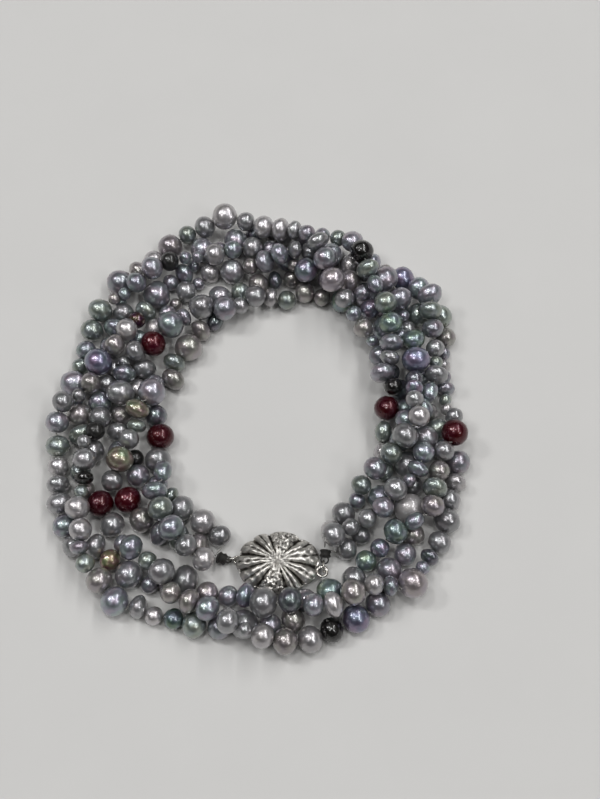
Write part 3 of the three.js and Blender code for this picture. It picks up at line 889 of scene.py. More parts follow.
@dataclass
class Settling:
    """Lets the pearls sink onto the surface and each other, held by their threads."""

    route: BundleRoute
    stringing: Stringing
    rounds: int = 320
    held_rounds: int = 240  # rounds in which the route still draws the pearls
    route_pull: float = 0.03
    sag: float = 0.08  # mm that a pearl drops in a round
    neighbour_rounds: int = 10  # rounds between two searches for neighbours
    neighbour_reach: float = 11  # mm
    least_opening: float = 0.82  # of the straight length of two links, kept where a thread bends

    def __post_init__(self) -> None:
        """Works out the balls that the pearls stay out of: the bindings and the rings."""
        self.balls: list[tuple[Spot, float]] = []
        for place in (BINDING_LEFT, BINDING_RIGHT):
            middle = [(a + b) / 2 for a, b in zip(place.start, place.end)]
            self.balls.append((Spot(*middle), place.radius + CONTACT_GAP))
        for ring in RINGS:
            self.balls.append((Spot(ring.x, ring.y, ring.z), ring.radius + ring.wire + CONTACT_GAP))

    @staticmethod
    def turn(strands: list[Strand]) -> None:
        """Sets each pearl's axis along its thread, from the neighbour before to the one after.

        Args:
            strands: The strands.
        """
        for strand in strands:
            seats = [strand.anchors[0], *[pearl.seat for pearl in strand.pearls], strand.anchors[1]]
            for pearl, before, after in zip(strand.pearls, seats, seats[2:]):
                pearl.axis = before.way_to(after, before.distance(after))

    @staticmethod
    def spread(one: Spot, other: Spot, lacking: float, distance: float) -> None:
        """Moves two seats apart or together along the line between them, each by half.

        Args:
            one: The first seat.
            other: The second seat.
            lacking: What their distance lacks, less than 0 where they are too far apart.
            distance: Their distance.
        """
        share = lacking / distance / 2
        x = (other.x - one.x) * share
        y = (other.y - one.y) * share
        z = (other.z - one.z) * share
        one.x -= x
        one.y -= y
        one.z -= z
        other.x += x
        other.y += y
        other.z += z

    def near_pairs(self, pearls: list[Pearl]) -> list[tuple[Pearl, Pearl]]:
        """Finds pearls that are near each other and aren't neighbours on one thread.

        Args:
            pearls: All pearls in their order.

        Returns:
            The pairs.
        """
        pairs = []
        for first, one in enumerate(pearls):
            for second in range(first + 1, len(pearls)):
                other = pearls[second]
                linked = one.strand == other.strand and second == first + 1
                if not linked and one.seat.distance(other.seat) < self.neighbour_reach:
                    pairs.append((one, other))
        return pairs

    def keep_links(self, strand: Strand) -> None:
        """Keeps neighbours on a thread at their spacing, and the thread from folding sharply.

        Args:
            strand: The strand.
        """
        pearls, gap = strand.pearls, self.stringing.thread_gap
        for one, other in zip(pearls, pearls[1:]):
            distance = one.seat.distance(other.seat)
            wanted = ((one.along + other.along) / 2 + gap) * strand.stretch
            self.spread(one.seat, other.seat, wanted - distance, distance)
        for one, between, other in zip(pearls, pearls[1:], pearls[2:]):
            distance = one.seat.distance(other.seat)
            straight = (one.along + other.along) / 2 + between.along + 2 * gap
            lacking = self.least_opening * straight - distance
            if lacking > 0:
                self.spread(one.seat, other.seat, lacking, distance)
        for pearl, anchor in ((pearls[0], strand.anchors[0]), (pearls[-1], strand.anchors[1])):
            share = (self.stringing.end_thread + pearl.along / 2) / pearl.seat.distance(anchor)
            pearl.seat = anchor.between(pearl.seat, share)

    def part(self, pairs: list[tuple[Pearl, Pearl]]) -> None:
        """Moves pearls apart where they are closer than a contact gap.

        Args:
            pairs: Pearls that are near each other.
        """
        for one, other in pairs:
            distance = one.seat.distance(other.seat)
            way = one.seat.way_to(other.seat, distance)
            wanted = one.skin(way) + other.skin(way) + CONTACT_GAP
            if distance < wanted:
                self.spread(one.seat, other.seat, wanted - distance, distance)

    def clear(self, pearl: Pearl) -> None:
        """Keeps a pearl above the surface and clear of the clasp and its fittings.

        Args:
            pearl: The pearl.
        """
        seat = pearl.seat
        for middle, radius in self.balls:
            share = (radius + pearl.across / 2) / seat.distance(middle)
            if share > 1:
                seat = middle.between(seat, share)
        seat.z = max(seat.z, pearl.skin(Spot(0, 0, 1)))
        x = seat.x - CLASP_MIDDLE[0]
        y = seat.y - CLASP_MIDDLE[1]
        across_x = FLOWER_OVAL.half_width + pearl.across / 2 + CONTACT_GAP
        across_y = FLOWER_OVAL.half_depth + pearl.across / 2 + CONTACT_GAP
        inside = math.sqrt((x / across_x) * (x / across_x) + (y / across_y) * (y / across_y))
        if inside < 1 and seat.z < CLASP_HEIGHT + pearl.across / 2:
            seat.x = CLASP_MIDDLE[0] + x / inside
            seat.y = CLASP_MIDDLE[1] + y / inside
        pearl.seat = seat

    def settle(self) -> list[Strand]:
        """Strings the three strands and settles them.

        Returns:
            The strands with their pearls in place.
        """
        dice = Dice(self.stringing.seed)
        count = len(STRAND_NAMES)
        strands = [self.stringing.string(number, self.route, dice) for number in range(count)]
        pearls = [pearl for strand in strands for pearl in strand.pearls]
        pairs: list[tuple[Pearl, Pearl]] = []
        for step in range(self.rounds):
            if step % self.neighbour_rounds == 0:
                self.turn(strands)
                pairs = self.near_pairs(pearls)
            held = step < self.held_rounds
            pull = self.route_pull if held else 0
            for pearl in pearls:
                seat, drawn = pearl.seat, pearl.route
                seat.x += (drawn.x - seat.x) * pull
                seat.y += (drawn.y - seat.y) * pull
                seat.z += (drawn.z - seat.z) * pull - (self.sag if held else 0)
            for strand in strands:
                self.keep_links(strand)
            self.part(pairs)
            for pearl in pearls:
                self.clear(pearl)
        self.turn(strands)
        return strands


# -------------------------------------------------------------------------------------------------
# Finishes
# -------------------------------------------------------------------------------------------------


@dataclass(frozen=True)
class Nacre:
    """Nacre of a dyed freshwater pearl, tumbled and buffed.

    The platelets give a deep satin reflection under a clear bright skin. Growth leaves a fine
    orange peel, shallow rings and small pits. The overtone's hue drifts over each pearl, as the
    platelets change in thickness.
    """

    name: str
    metallic: float = 0.8  # share of light that the platelets throw back in the overtone's colour
    roughness: float = 0.34
    coat: float = 0.9
    coat_roughness: float = 0.09
    overtone: float = 0.75  # saturation of the overtone, as a share of the dye's own
    hue_drift: float = 0.14  # turns of the colour circle, either way
    cloud: float = 1.1  # mm, width of the clouds in the dye
    peel: float = 0.7  # mm, width of the orange peel's swells, drawn three times as wide to show
    pits: float = 1.6  # mm between the small pits
    relief: float = 0.055  # mm, depth of the orange peel
    ring_wave: float = 26.0  # radians of the growth lines' wave, from a pearl's middle to its end
    ring_gain: float = 10.0  # turns a ring's share of the radius into a share of the peel's depth
    aragonite_ior: float = 1.6

    def material(self) -> bpy.types.Material:
        """Builds the material.

        Returns:
            The material, which reads each pearl's own colours and place from its attributes.
        """
        material, tree, room = new_material(self.name)
        attributes = {
            name: add_node(tree, "ShaderNodeAttribute", attribute_name=name)
            for name in ("pearl_body", "pearl_overtone", "pearl_place", "pearl_seed", "ring_depth")
        }
        place = attributes["pearl_place"].outputs["Vector"]
        seed = attributes["pearl_seed"].outputs["Fac"]
        drift = noise(tree, place, 1.3, 1.5, seed=seed)
        hues = (0.5 - self.hue_drift, 0.5 + self.hue_drift)
        turned = remap(tree, drift, (0.35, 0.65), hues)
        overtone = attributes["pearl_overtone"].outputs["Color"]
        inputs = {"Hue": turned, "Saturation": self.overtone, "Color": overtone}
        orient = add_node(tree, "ShaderNodeHueSaturation", inputs)
        # Uneven take-up of the dye.
        cloud = noise(tree, room, 1 / (self.cloud * MM), 3.0, 0.6)
        cloud_shade = remap(tree, cloud, (0.3, 0.7), (0.8, 1.15))
        dye = attributes["pearl_body"].outputs["Color"]
        clouded = blend(tree, 1.0, dye, cloud_shade, "MULTIPLY")
        # Painted shade darkens the drill mouth at both ends of the thread's hole.
        height = add_node(tree, "ShaderNodeSeparateXYZ", {0: place}).outputs[2]
        pole = maths(tree, "ABSOLUTE", height)
        mouth = remap(tree, pole, (0.965, 0.995), (1.0, 0.25))
        body = blend(tree, 1.0, clouded, mouth, "MULTIPLY")
        # Growth rings run round the thread, a little crooked.
        crook = noise(tree, place, 1.6, 1.0, seed=seed)
        lean = maths(tree, "MULTIPLY_ADD", crook, 0.5, height)
        ridge = maths(tree, "SINE", maths(tree, "MULTIPLY", lean, self.ring_wave))
        rings = maths(tree, "MULTIPLY", ridge, attributes["ring_depth"].outputs["Fac"])
        peel = noise(tree, room, 1 / (self.peel * MM), 1.5, 0.45)
        inputs = {"Vector": room, "Scale": 1 / (self.pits * MM), "Randomness": 1.0}
        pits = add_node(tree, "ShaderNodeTexVoronoi", inputs)
        pit = remap(tree, pits, (0.04, 0.18), (-0.35, 0.0))
        skin = maths(tree, "ADD", peel, pit)
        lines = maths(tree, "MULTIPLY_ADD", rings, self.ring_gain, skin)
        relief = bump(tree, lines, 0.9, self.relief)
        satin = (self.roughness - 0.06, self.roughness + 0.08)
        inputs = {
            "Base Color": blend(tree, self.metallic, body, orient),
            "Metallic": self.metallic,
            "Roughness": remap(tree, cloud, (0.3, 0.7), satin),
            "IOR": self.aragonite_ior,
            "Normal": relief,
            "Coat Weight": self.coat,
            "Coat Roughness": self.coat_roughness,
            "Coat IOR": self.aragonite_ior,
            "Coat Normal": relief,
        }
        end_material(tree, inputs)
        return material


@dataclass(frozen=True)
class CastSilver:
    """Sterling silver, cast from a wax and rhodium plated, with oxide left dark in its hollows.

    The raised folds are bright and slightly uneven, and the grooves are nearly black. Painted
    shade darkens the rim's outer rings, its wall and its underside.
    """

    name: str = "cast_sterling_silver"
    bright: str = "#d8d5cf"
    oxide_and_shade_colour: str = "#45423e"
    roughness: float = 0.38
    oxide_and_shade_roughness: float = 0.5
    stain: float = 0.7  # mm, width of the patches in which the oxide has worn
    skin: float = 0.6  # mm, grain of the cast skin, drawn coarser than the real one to show
    skin_depth: float = 0.07  # mm

    def material(self) -> bpy.types.Material:
        """Builds the material.

        Returns:
            The material, which reads from an attribute how much oxide and painted shade darken it.
        """
        material, tree, room = new_material(self.name)
        oxide_and_shade_share = add_node(tree, "ShaderNodeAttribute", attribute_name="oxide_and_shade_share").outputs["Fac"]
        stain = noise(tree, room, 1 / (self.stain * MM), 4.0, 0.65)
        worn = remap(tree, stain, (0.35, 0.7), (-0.25, 0.4))
        worn_oxide_and_shade = maths(tree, "ADD", oxide_and_shade_share, worn)
        worn_oxide_and_shade.use_clamp = True
        grain = noise(tree, room, 1 / (self.skin * MM), 2.5, 0.55)
        inputs = {
            "Base Color": blend(tree, worn_oxide_and_shade, colour(self.bright), colour(self.oxide_and_shade_colour)),
            "Metallic": 1.0,
            "Roughness": remap(tree, worn_oxide_and_shade, made=(self.roughness, self.oxide_and_shade_roughness)),
            "Normal": bump(tree, grain, 0.6, self.skin_depth),
        }
        end_material(tree, inputs)
        return material


@dataclass(frozen=True)
class DrawnSilver:
    """Sterling silver wire and strip, drawn, bent and soldered, with fine marks and a tarnish."""

    name: str = "drawn_silver_wire"
    bright: str = "#d2cfc9"
    tarnish: str = "#6b655c"
    roughness: float = 0.22
    film: float = 0.9  # mm, width of the patches of tarnish
    line: float = 0.2  # mm, width of the fine marks of drawing
    line_depth: float = 0.02  # mm

    def material(self) -> bpy.types.Material:
        """Builds the material.

        Returns:
            The material.
        """
        material, tree, room = new_material(self.name)
        film = remap(tree, noise(tree, room, 1 / (self.film * MM), 4.0, 0.6), (0.45, 0.75))
        lines = noise(tree, room, 1 / (self.line * MM), 2.0)
        inputs = {
            "Base Color": blend(tree, film, colour(self.bright), colour(self.tarnish)),
            "Metallic": 1.0,
            "Roughness": remap(tree, film, made=(self.roughness, self.roughness + 0.2)),
            "Normal": bump(tree, lines, 0.5, self.line_depth),
        }
        end_material(tree, inputs)
        return material


@dataclass(frozen=True)
class WaxedThread:
    """Black polyester thread, waxed and wound tight: dull black, with a slight shine on the wax."""

    name: str = "waxed_black_thread"
    dark: str = "#0b0a0a"
    worn: str = "#26231f"
    ply: float = 0.3  # mm, from one ply of the twist to the next
    ply_depth: float = 0.05  # mm

    def material(self) -> bpy.types.Material:
        """Builds the material.

        Returns:
            The material.
        """
        material, tree, room = new_material(self.name)
        fuzz = noise(tree, room, 1 / (self.ply * MM), 5.0, 0.7)
        inputs = {"Vector": room, "Scale": 0.31 / (self.ply * MM), "Distortion": 3.0, "Detail": 2.0}
        plies = add_node(tree, "ShaderNodeTexWave", inputs, bands_direction="DIAGONAL")
        inputs = {
            "Base Color": blend(tree, fuzz, colour(self.dark), colour(self.worn)),
            "Roughness": 0.55,
            "Normal": bump(tree, plies, 0.7, self.ply_depth),
            "Sheen Weight": 0.15,
            "Sheen Roughness": 0.4,
        }
        end_material(tree, inputs)
        return material


@dataclass(frozen=True)
class NylonLine:
    """Nylon stringing line, extruded clear: milky, smooth, and bright along its top."""

    name: str = "clear_nylon_line"
    clear: str = "#8f8e89"
    milky: str = "#b4b2ac"
    haze: float = 1.5  # mm, width of the milky patches

    def material(self) -> bpy.types.Material:
        """Builds the material.

        Returns:
            The material.
        """
        material, tree, room = new_material(self.name)
        haze = noise(tree, room, 1 / (self.haze * MM), 3.0)
        inputs = {
            "Base Color": blend(tree, haze, colour(self.clear), colour(self.milky)),
            "Roughness": 0.25,
            "IOR": 1.53,
            "Transmission Weight": 0.45,
        }
        end_material(tree, inputs)
        return material


@dataclass(frozen=True)
class PaleBoard:
    """The studio's floor: matt pale board, with the faintest tooth."""

    name: str = "pale_studio_board"
    pale: str = "#cccbc9"
    shade: str = "#c8c7c5"
    tooth: float = 25.0  # mm, width of the patches of shade

    def material(self) -> bpy.types.Material:
        """Builds the material.

        Returns:
            The material.
        """
        material, tree, room = new_material(self.name)
        tooth = noise(tree, room, 1 / (self.tooth * MM), 3.0)
        tone = blend(tree, tooth, colour(self.pale), colour(self.shade))
        end_material(tree, {"Base Color": tone, "Roughness": 0.75, "Specular IOR Level": 0.2})
        return material


# -------------------------------------------------------------------------------------------------
# Wires and threads
# -------------------------------------------------------------------------------------------------


@dataclass
class RoundLines:
    """Draws wires and threads as round lines along a row of points."""

    sides: int = 10

    def __post_init__(self) -> None:
        """Builds the node tree that all lines share."""
        sockets = [("Radius", "Float"), ("Sides", "Int"), ("Finish", "Material")]
        tree = new_tree("Round line", sockets)
        given = add_node(tree, "NodeGroupInput").outputs
        line = add_node(tree, "GeometryNodeMeshToCurve", {"Mesh": given["Start"]})
        inputs = {"Resolution": given["Sides"], "Radius": given["Radius"]}
        circle = add_node(tree, "GeometryNodeCurvePrimitiveCircle", inputs)
        inputs = {"Curve": line, "Profile Curve": circle, "Fill Caps": True}
        tube = add_node(tree, "GeometryNodeCurveToMesh", inputs)
        end_tree(tree, tube, given["Finish"])
        self.tree = tree

    def draw(
        self,
        name: str,
        points: Sequence[Sequence[float]],
        radius: float,
        finish: bpy.types.Material,
        closed: bool = False,
    ) -> bpy.types.Object:
        """Draws one line.

        Args:
            name: Name of the piece.
            points: Points of its middle line, in millimetres of the route's frame.
            radius: Radius of the line in millimetres.
            finish: Its material.
            closed: True where the last point joins the first one.

        Returns:
            The piece.
        """
        count = len(points)
        edges = [(place, place + 1) for place in range(count - 1)]
        if closed:
            edges.append((count - 1, 0))
        piece = new_piece(name, points, edges=edges)
        values = {"Radius": radius * MM, "Sides": self.sides, "Finish": finish}
        run_nodes(piece, self.tree, values)
        return piece

    @staticmethod
    def ring_points(
        place: RingPlace, steps: int = 40, cut: float = 0.0, start: float = 0.0
    ) -> list[tuple[float, float, float]]:
        """Gives points round a ring.

        Args:
            place: The ring.
            steps: Number of points.
            cut: Turns left open between the first point and the last; 0 for a whole ring.
            start: Bearing of the cut, in turns.

        Returns:
            The points.
        """
        points = []
        for step in range(steps):
            share = step / (steps - 1) if cut else step / steps
            angle = TURN * (start + cut / 2 + share * (1 - cut))
            first, second = place.radius * math.cos(angle), place.radius * math.sin(angle)
            offset = {
                "x": (0.0, first, second),
                "y": (first, 0.0, second),
                "z": (first, second, 0.0),
            }[place.axis]
            points.append((place.x + offset[0], place.y + offset[1], place.z + offset[2]))
        return points


# -------------------------------------------------------------------------------------------------
# Pearls on their threads
# -------------------------------------------------------------------------------------------------


@dataclass
class PearlSorter:
    """Gives every pearl its form and tone, as a stringer sorts a mixed lot."""

    seed: int = 7
    long_ratio: float = 1.12  # of length to width, from which a pearl is a rice pearl
    flat_ratio: float = 0.8  # below which it is a button
    forms: tuple[tuple[Form, float], ...] = (
        (Form.ROUND, 0.38),
        (Form.POTATO, 0.34),
        (Form.RINGED, 0.12),
        (Form.DIMPLED, 0.16),
    )
    tones: tuple[tuple[Tone, float], ...] = (
        (Tone.SILVER, 0.27),
        (Tone.LAVENDER, 0.23),
        (Tone.BLUE, 0.16),
        (Tone.GREEN, 0.12),
        (Tone.BROWN, 0.12),
        (Tone.PALE, 0.06),
        (Tone.SLATE, 0.04),
    )
    accents: tuple[Accent, ...] = (
        Accent("a", 481, Tone.WINE),
        Accent("a", 558, Tone.BLACK, Form.BUTTON),
        Accent("a", 603, Tone.BLACK),
        Accent("b", 419, Tone.BLACK),
        Accent("c", 325, Tone.BLACK, Form.RICE),
        Accent("b", 367, Tone.BOTTLE),
        Accent("c", 173, Tone.SLATE),
        Accent("a", 334, Tone.SLATE),
        Accent("c", 61, Tone.OLIVE, Form.POTATO),
        Accent("a", 84, Tone.SLATE),
        Accent("c", 84, Tone.OLIVE),
        Accent("a", 392, Tone.BRONZE, Form.RICE),
        Accent("a", 361, Tone.ROSE),
        Accent("b", 284, Tone.ROSE),
        Accent("c", 561, Tone.ROSE),
        Accent("a", 581, Tone.PEACOCK),
        Accent("b", 297, Tone.PEACOCK),
        Accent("b", 309, Tone.PEACOCK),
        Accent("c", 589, Tone.PEACOCK),
        Accent("a", 348, Tone.VIOLET),
        Accent("b", 303, Tone.VIOLET),
        Accent("c", 548, Tone.VIOLET, Form.POTATO),
        Accent("c", 572, Tone.VIOLET),
        Accent("c", 606, Tone.VIOLET),
        Accent("a", 273, Tone.PALE),
        Accent("a", 425, Tone.PALE),
        Accent("b", 411, Tone.PALE),
        Accent("c", 331, Tone.PALE, Form.ROUND),
        Accent("c", 342, Tone.PALE, Form.ROUND),
        Accent("c", 617, Tone.PALE),
    )

    @staticmethod
    def pick(shares: Sequence[tuple[Any, float]], dice: Dice) -> Any:
        """Draws one of several options by their shares.

        Args:
            shares: Options with their shares of 1.
            dice: Dice to draw with.

        Returns:
            The option.
        """
        left = dice.roll() * sum(share for _, share in shares)
        for option, share in shares:
            left -= share
            if left < 0:
                return option
        return shares[0][0]

    def sort(self, strands: list[Strand]) -> None:
        """Sets the form and the tone of every pearl.

        Args:
            strands: The settled strands.
        """
        dice = Dice(self.seed)
        for strand in strands:
            for pearl in strand.pearls:
                pearl.form = self.pick(self.forms, dice)
                ratio = pearl.along / pearl.across
                if ratio > self.long_ratio:
                    pearl.form = Form.RICE
                elif ratio < self.flat_ratio:
                    pearl.form = Form.BUTTON
                pearl.dye = pearl.tone or self.pick(self.tones, dice)
        for accent in self.accents:
            strand = strands[STRAND_NAMES.index(accent.strand)]
            joined = [pearl for pearl in strand.pearls if pearl.tone is None]
            pearl = min(joined, key=lambda joined_pearl: abs(joined_pearl.sweep - accent.sweep))
            pearl.dye = accent.tone
            pearl.form = accent.form or pearl.form


@dataclass
class PearlStrands:
    """The three strands: stretches of pearls, the drilled pearls between them, and their thread."""

    strands: list[Strand]
    sides: int = 16
    rings: int = 10
    swell: float = 0.12  # mm by which nacre closes the gap kept between the solids
    mouth: float = 0.05  # depth of a drill mouth, as a share of the radius
    line_radius: float = 0.13
    shade_spread: float = 0.18  # by how much a pearl is lighter or darker than its tone
    flat_lean: float = 0.6  # range of the sine by which flat sides lean along the thread
    seed_range: float = 50.0  # over which the pearls' noise is spread

    def pearl_tree(self) -> bpy.types.NodeTree:
        """Builds the tree that grows a pearl round each point of a strand.

        Returns:
            The tree.
        """
        sockets = [("Sides", "Int"), ("Rings", "Int"), ("Drill mouth", "Float")]
        tree = new_tree("Grown pearls", [*sockets, ("Nacre", "Material")])
        given = add_node(tree, "NodeGroupInput").outputs
        kinds = dict.fromkeys(VECTOR_LABELS, "FLOAT_VECTOR")
        kinds |= dict.fromkeys(("pearl_seed", *Growth._fields), "FLOAT")
        named = {}
        for name, kind in kinds.items():
            label = "GeometryNodeInputNamedAttribute"
            named[name] = add_node(tree, label, {"Name": name}, data_type=kind).outputs[0]
        inputs = {"Segments": given["Sides"], "Rings": given["Rings"], "Radius": 1.0}
        ball = add_node(tree, "GeometryNodeMeshUVSphere", inputs)
        skin = add_node(tree, "GeometryNodeInputPosition")
        inputs = {"Geometry": ball, "Name": "pearl_place", "Value": skin}
        settings = {"data_type": "FLOAT_VECTOR", "domain": "POINT"}
        marked = add_node(tree, "GeometryNodeStoreNamedAttribute", inputs, **settings)
        inputs = {"Vector": named["thread_way"]}
        turned = add_node(tree, "FunctionNodeAlignRotationToVector", inputs, axis="Z")
        inputs = {"Points": given["Start"], "Instance": marked, "Rotation": turned}
        inputs["Scale"] = named["pearl_size"]
        strung = add_node(tree, "GeometryNodeInstanceOnPoints", inputs)
        solid = add_node(tree, "GeometryNodeRealizeInstances", {"Geometry": strung})
        # Share by which each point of a pearl's skin stands out or in.
        place, seed = named["pearl_place"], named["pearl_seed"]
        height = add_node(tree, "ShaderNodeSeparateXYZ", {0: place}).outputs[2]
        turns = maths(tree, "MULTIPLY_ADD", height, named["ring_count"], seed)
        wave = maths(tree, "SINE", maths(tree, "MULTIPLY", turns, math.pi))
        rings = maths(tree, "MULTIPLY", wave, named["ring_depth"])
        tapered = maths(tree, "MULTIPLY_ADD", height, named["taper"], rings)
        lump = maths(tree, "SUBTRACT", noise(tree, place, 0.8, 1.0, seed=seed), 0.5)
        uneven = maths(tree, "MULTIPLY", lump, named["unevenness"])
        lumpy = maths(tree, "MULTIPLY_ADD", uneven, 2.0, tapered)
        facing = vectors(tree, "DOT_PRODUCT", place, named["flat_way"]).outputs["Value"]
        flat = remap(tree, facing, (0.35, 1.0), interpolation_type="SMOOTHSTEP")
        flattened = maths(tree, "MULTIPLY", flat, named["flat_depth"])
        pole = maths(tree, "ABSOLUTE", height)
        mouth = remap(tree, pole, (0.975, 1.0), (0.0, given["Drill mouth"]))
        share = maths(tree, "SUBTRACT", lumpy, maths(tree, "ADD", flattened, mouth))
        spot = add_node(tree, "GeometryNodeInputPosition")
        arm = vectors(tree, "SUBTRACT", spot, named["pearl_seat"])
        inputs = {0: arm, "Scale": share}
        offset = add_node(tree, "ShaderNodeVectorMath", inputs, operation="SCALE")
        grown = add_node(tree, "GeometryNodeSetPosition", {"Geometry": solid, "Offset": offset})
        # Nothing sinks into the surface that the necklace lies on.
        spot = add_node(tree, "GeometryNodeInputPosition")
        resting = vectors(tree, "MAXIMUM", spot, (-10.0, -10.0, 0.0))
        lying = add_node(tree, "GeometryNodeSetPosition", {"Geometry": grown, "Position": resting})
        end_tree(tree, lying, given["Nacre"])
        return tree

    def seats(self, name: str, pearls: list[Pearl]) -> bpy.types.Object:
        """Makes the points on which pearls grow, with what the tree needs to know of each.

        Args:
            name: Name of the piece.
            pearls: The pearls of the piece.

        Returns:
            The piece, still a row of points.
        """
        piece = new_piece(name, [pearl.seat.row() for pearl in pearls])
        mesh = piece.data
        seats = np.array([vertex.co[:] for vertex in mesh.vertices])
        dice = Dice(sum(ord(letter) * (place + 3) for place, letter in enumerate(name)))
        forms = np.array([pearl.form.value for pearl in pearls])
        signs = np.array([1 if dice.roll() < 0.5 else -1 for _ in pearls])
        flats = []
        for _ in pearls:
            bearing, height = TURN * dice.roll(), self.flat_lean * (dice.roll() - 0.5)
            level = math.sqrt(1 - height * height)
            flats.append((level * math.cos(bearing), level * math.sin(bearing), height))
        widths = [(pearl.across, pearl.across, pearl.along) for pearl in pearls]
        half = (np.array(widths) + self.swell) / 2 * MM
        ways = [pearl.axis.row() for pearl in pearls]
        for label, values in zip(VECTOR_LABELS[1:], (half, seats, ways, flats)):
            store(mesh, label, "FLOAT_VECTOR", np.array(values))
        seeds = np.array([self.seed_range * dice.roll() for _ in pearls])
        store(mesh, "pearl_seed", "FLOAT", seeds)
        for column, label in enumerate(Growth._fields):
            values = forms[:, column] * (signs if label == "taper" else 1)
            store(mesh, label, "FLOAT", values)
        shades = np.array([1 + self.shade_spread * (2 * dice.roll() - 1) for _ in pearls])
        for column in ("body", "overtone"):
            paints = np.array([colour(getattr(pearl.dye.value, column)) for pearl in pearls])
            paints[:, :3] *= shades[:, None]
            store(mesh, f"pearl_{column}", "FLOAT_COLOR", paints)
        return piece

    def grow(
        self,
        name: str,
        pearls: list[Pearl],
        tree: bpy.types.NodeTree,
        nacre: bpy.types.Material,
        node: str,
    ) -> None:
        """Grows the pearls of one piece and puts it in place of its solid.

        Args:
            name: Name of the piece.
            pearls: Its pearls.
            tree: Tree that grows them.
            nacre: Their material.
            node: The solid that the piece stands for.
        """
        piece = self.seats(name, pearls)
        values = {"Sides": self.sides, "Rings": self.rings, "Drill mouth": self.mouth}
        run_nodes(piece, tree, {**values, "Nacre": nacre})
        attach(piece, BODY)
        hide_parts(node)

    def build(
        self, nacres: dict[str, bpy.types.Material], lines: RoundLines, nylon: bpy.types.Material
    ) -> None:
        """Builds the pearls and the threads of all strands.

        Args:
            nacres: Nacre for each pearl slot.
            lines: What draws the threads.
            nylon: Material of the stringing line.
        """
        tree = self.pearl_tree()
        for strand, letter in zip(self.strands, STRAND_NAMES):
            parts: list[list[Pearl]] = [[]]
            for pearl in strand.pearls:
                if pearl.tone is None:
                    parts[-1].append(pearl)
                else:
                    parts += [[pearl], []]
            # Every other part is a drilled pearl.
            for place, pearls in enumerate(parts):
                count, drilled = place // 2 + 1, place % 2 == 1
                name = f"pearl_{letter}_{count}" if drilled else f"pearls_{letter}_{count}"
                node = f"strand_{letter}_{'pearl' if drilled else 'stretch'}_{count}"
                slot = pearls[0].dye.value.slot if drilled else "pearl_grey"
                self.grow(name, pearls, tree, nacres[slot], node)
            LOG.info("strand %s: %d pearls in %d parts", letter, len(strand.pearls), len(parts))
        for strand, letter in zip(self.strands, STRAND_NAMES):
            self.thread(strand, letter, lines, nylon)

    def thread(
        self, strand: Strand, letter: str, lines: RoundLines, nylon: bpy.types.Material
    ) -> None:
        """Draws the line that one strand hangs on, from binding to binding.

        Args:
            strand: The strand.
            letter: Its letter.
            lines: What draws the thread.
            nylon: Material of the line.
        """
        points = [strand.anchors[0].row()]
        for pearl in strand.pearls:
            for reach in (-0.5, 0, 0.5):
                points.append(pearl.seat.towards(pearl.axis, reach * pearl.along))
        points.append(strand.anchors[1].row())
        piece = lines.draw(f"thread_{letter}", points, self.line_radius, nylon)
        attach(piece, BODY)
        LOG.info("thread %s: %d points", letter, len(points))

    def seat_error(self) -> float:
        """Compares the seats of the drilled pearls with their solids.

        Returns:
            The largest difference in millimetres.
        """
        worst = 0.0
        for strand, letter in zip(self.strands, STRAND_NAMES):
            singles = [pearl for pearl in strand.pearls if pearl.tone is not None]
            for count, pearl in enumerate(singles, 1):
                low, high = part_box(f"strand_{letter}_pearl_{count}")
                middle = (low + high) / 2 / MM
                seat = Vector(pearl.seat.row()) - Vector((*OUTLINE_MIDDLE, 0))
                worst = max(worst, (middle - seat).length)
        return worst


# -------------------------------------------------------------------------------------------------
# Clasp
# -------------------------------------------------------------------------------------------------


class Petal(NamedTuple):
    """A petal: bearing of its middle and half its angle in degrees, and its relief in mm."""

    bearing: float
    half_angle: float
    reach: float  # of its tip past the oval
    ribs: float  # number of ribs
    fold: float  # height of a rib
    grain: float  # height of its grains; 0 for a petal without


class DomeRing(NamedTuple):
    """A ring of the dome: share of the radius, and share of the dome's height."""

    radius: float
    height: float


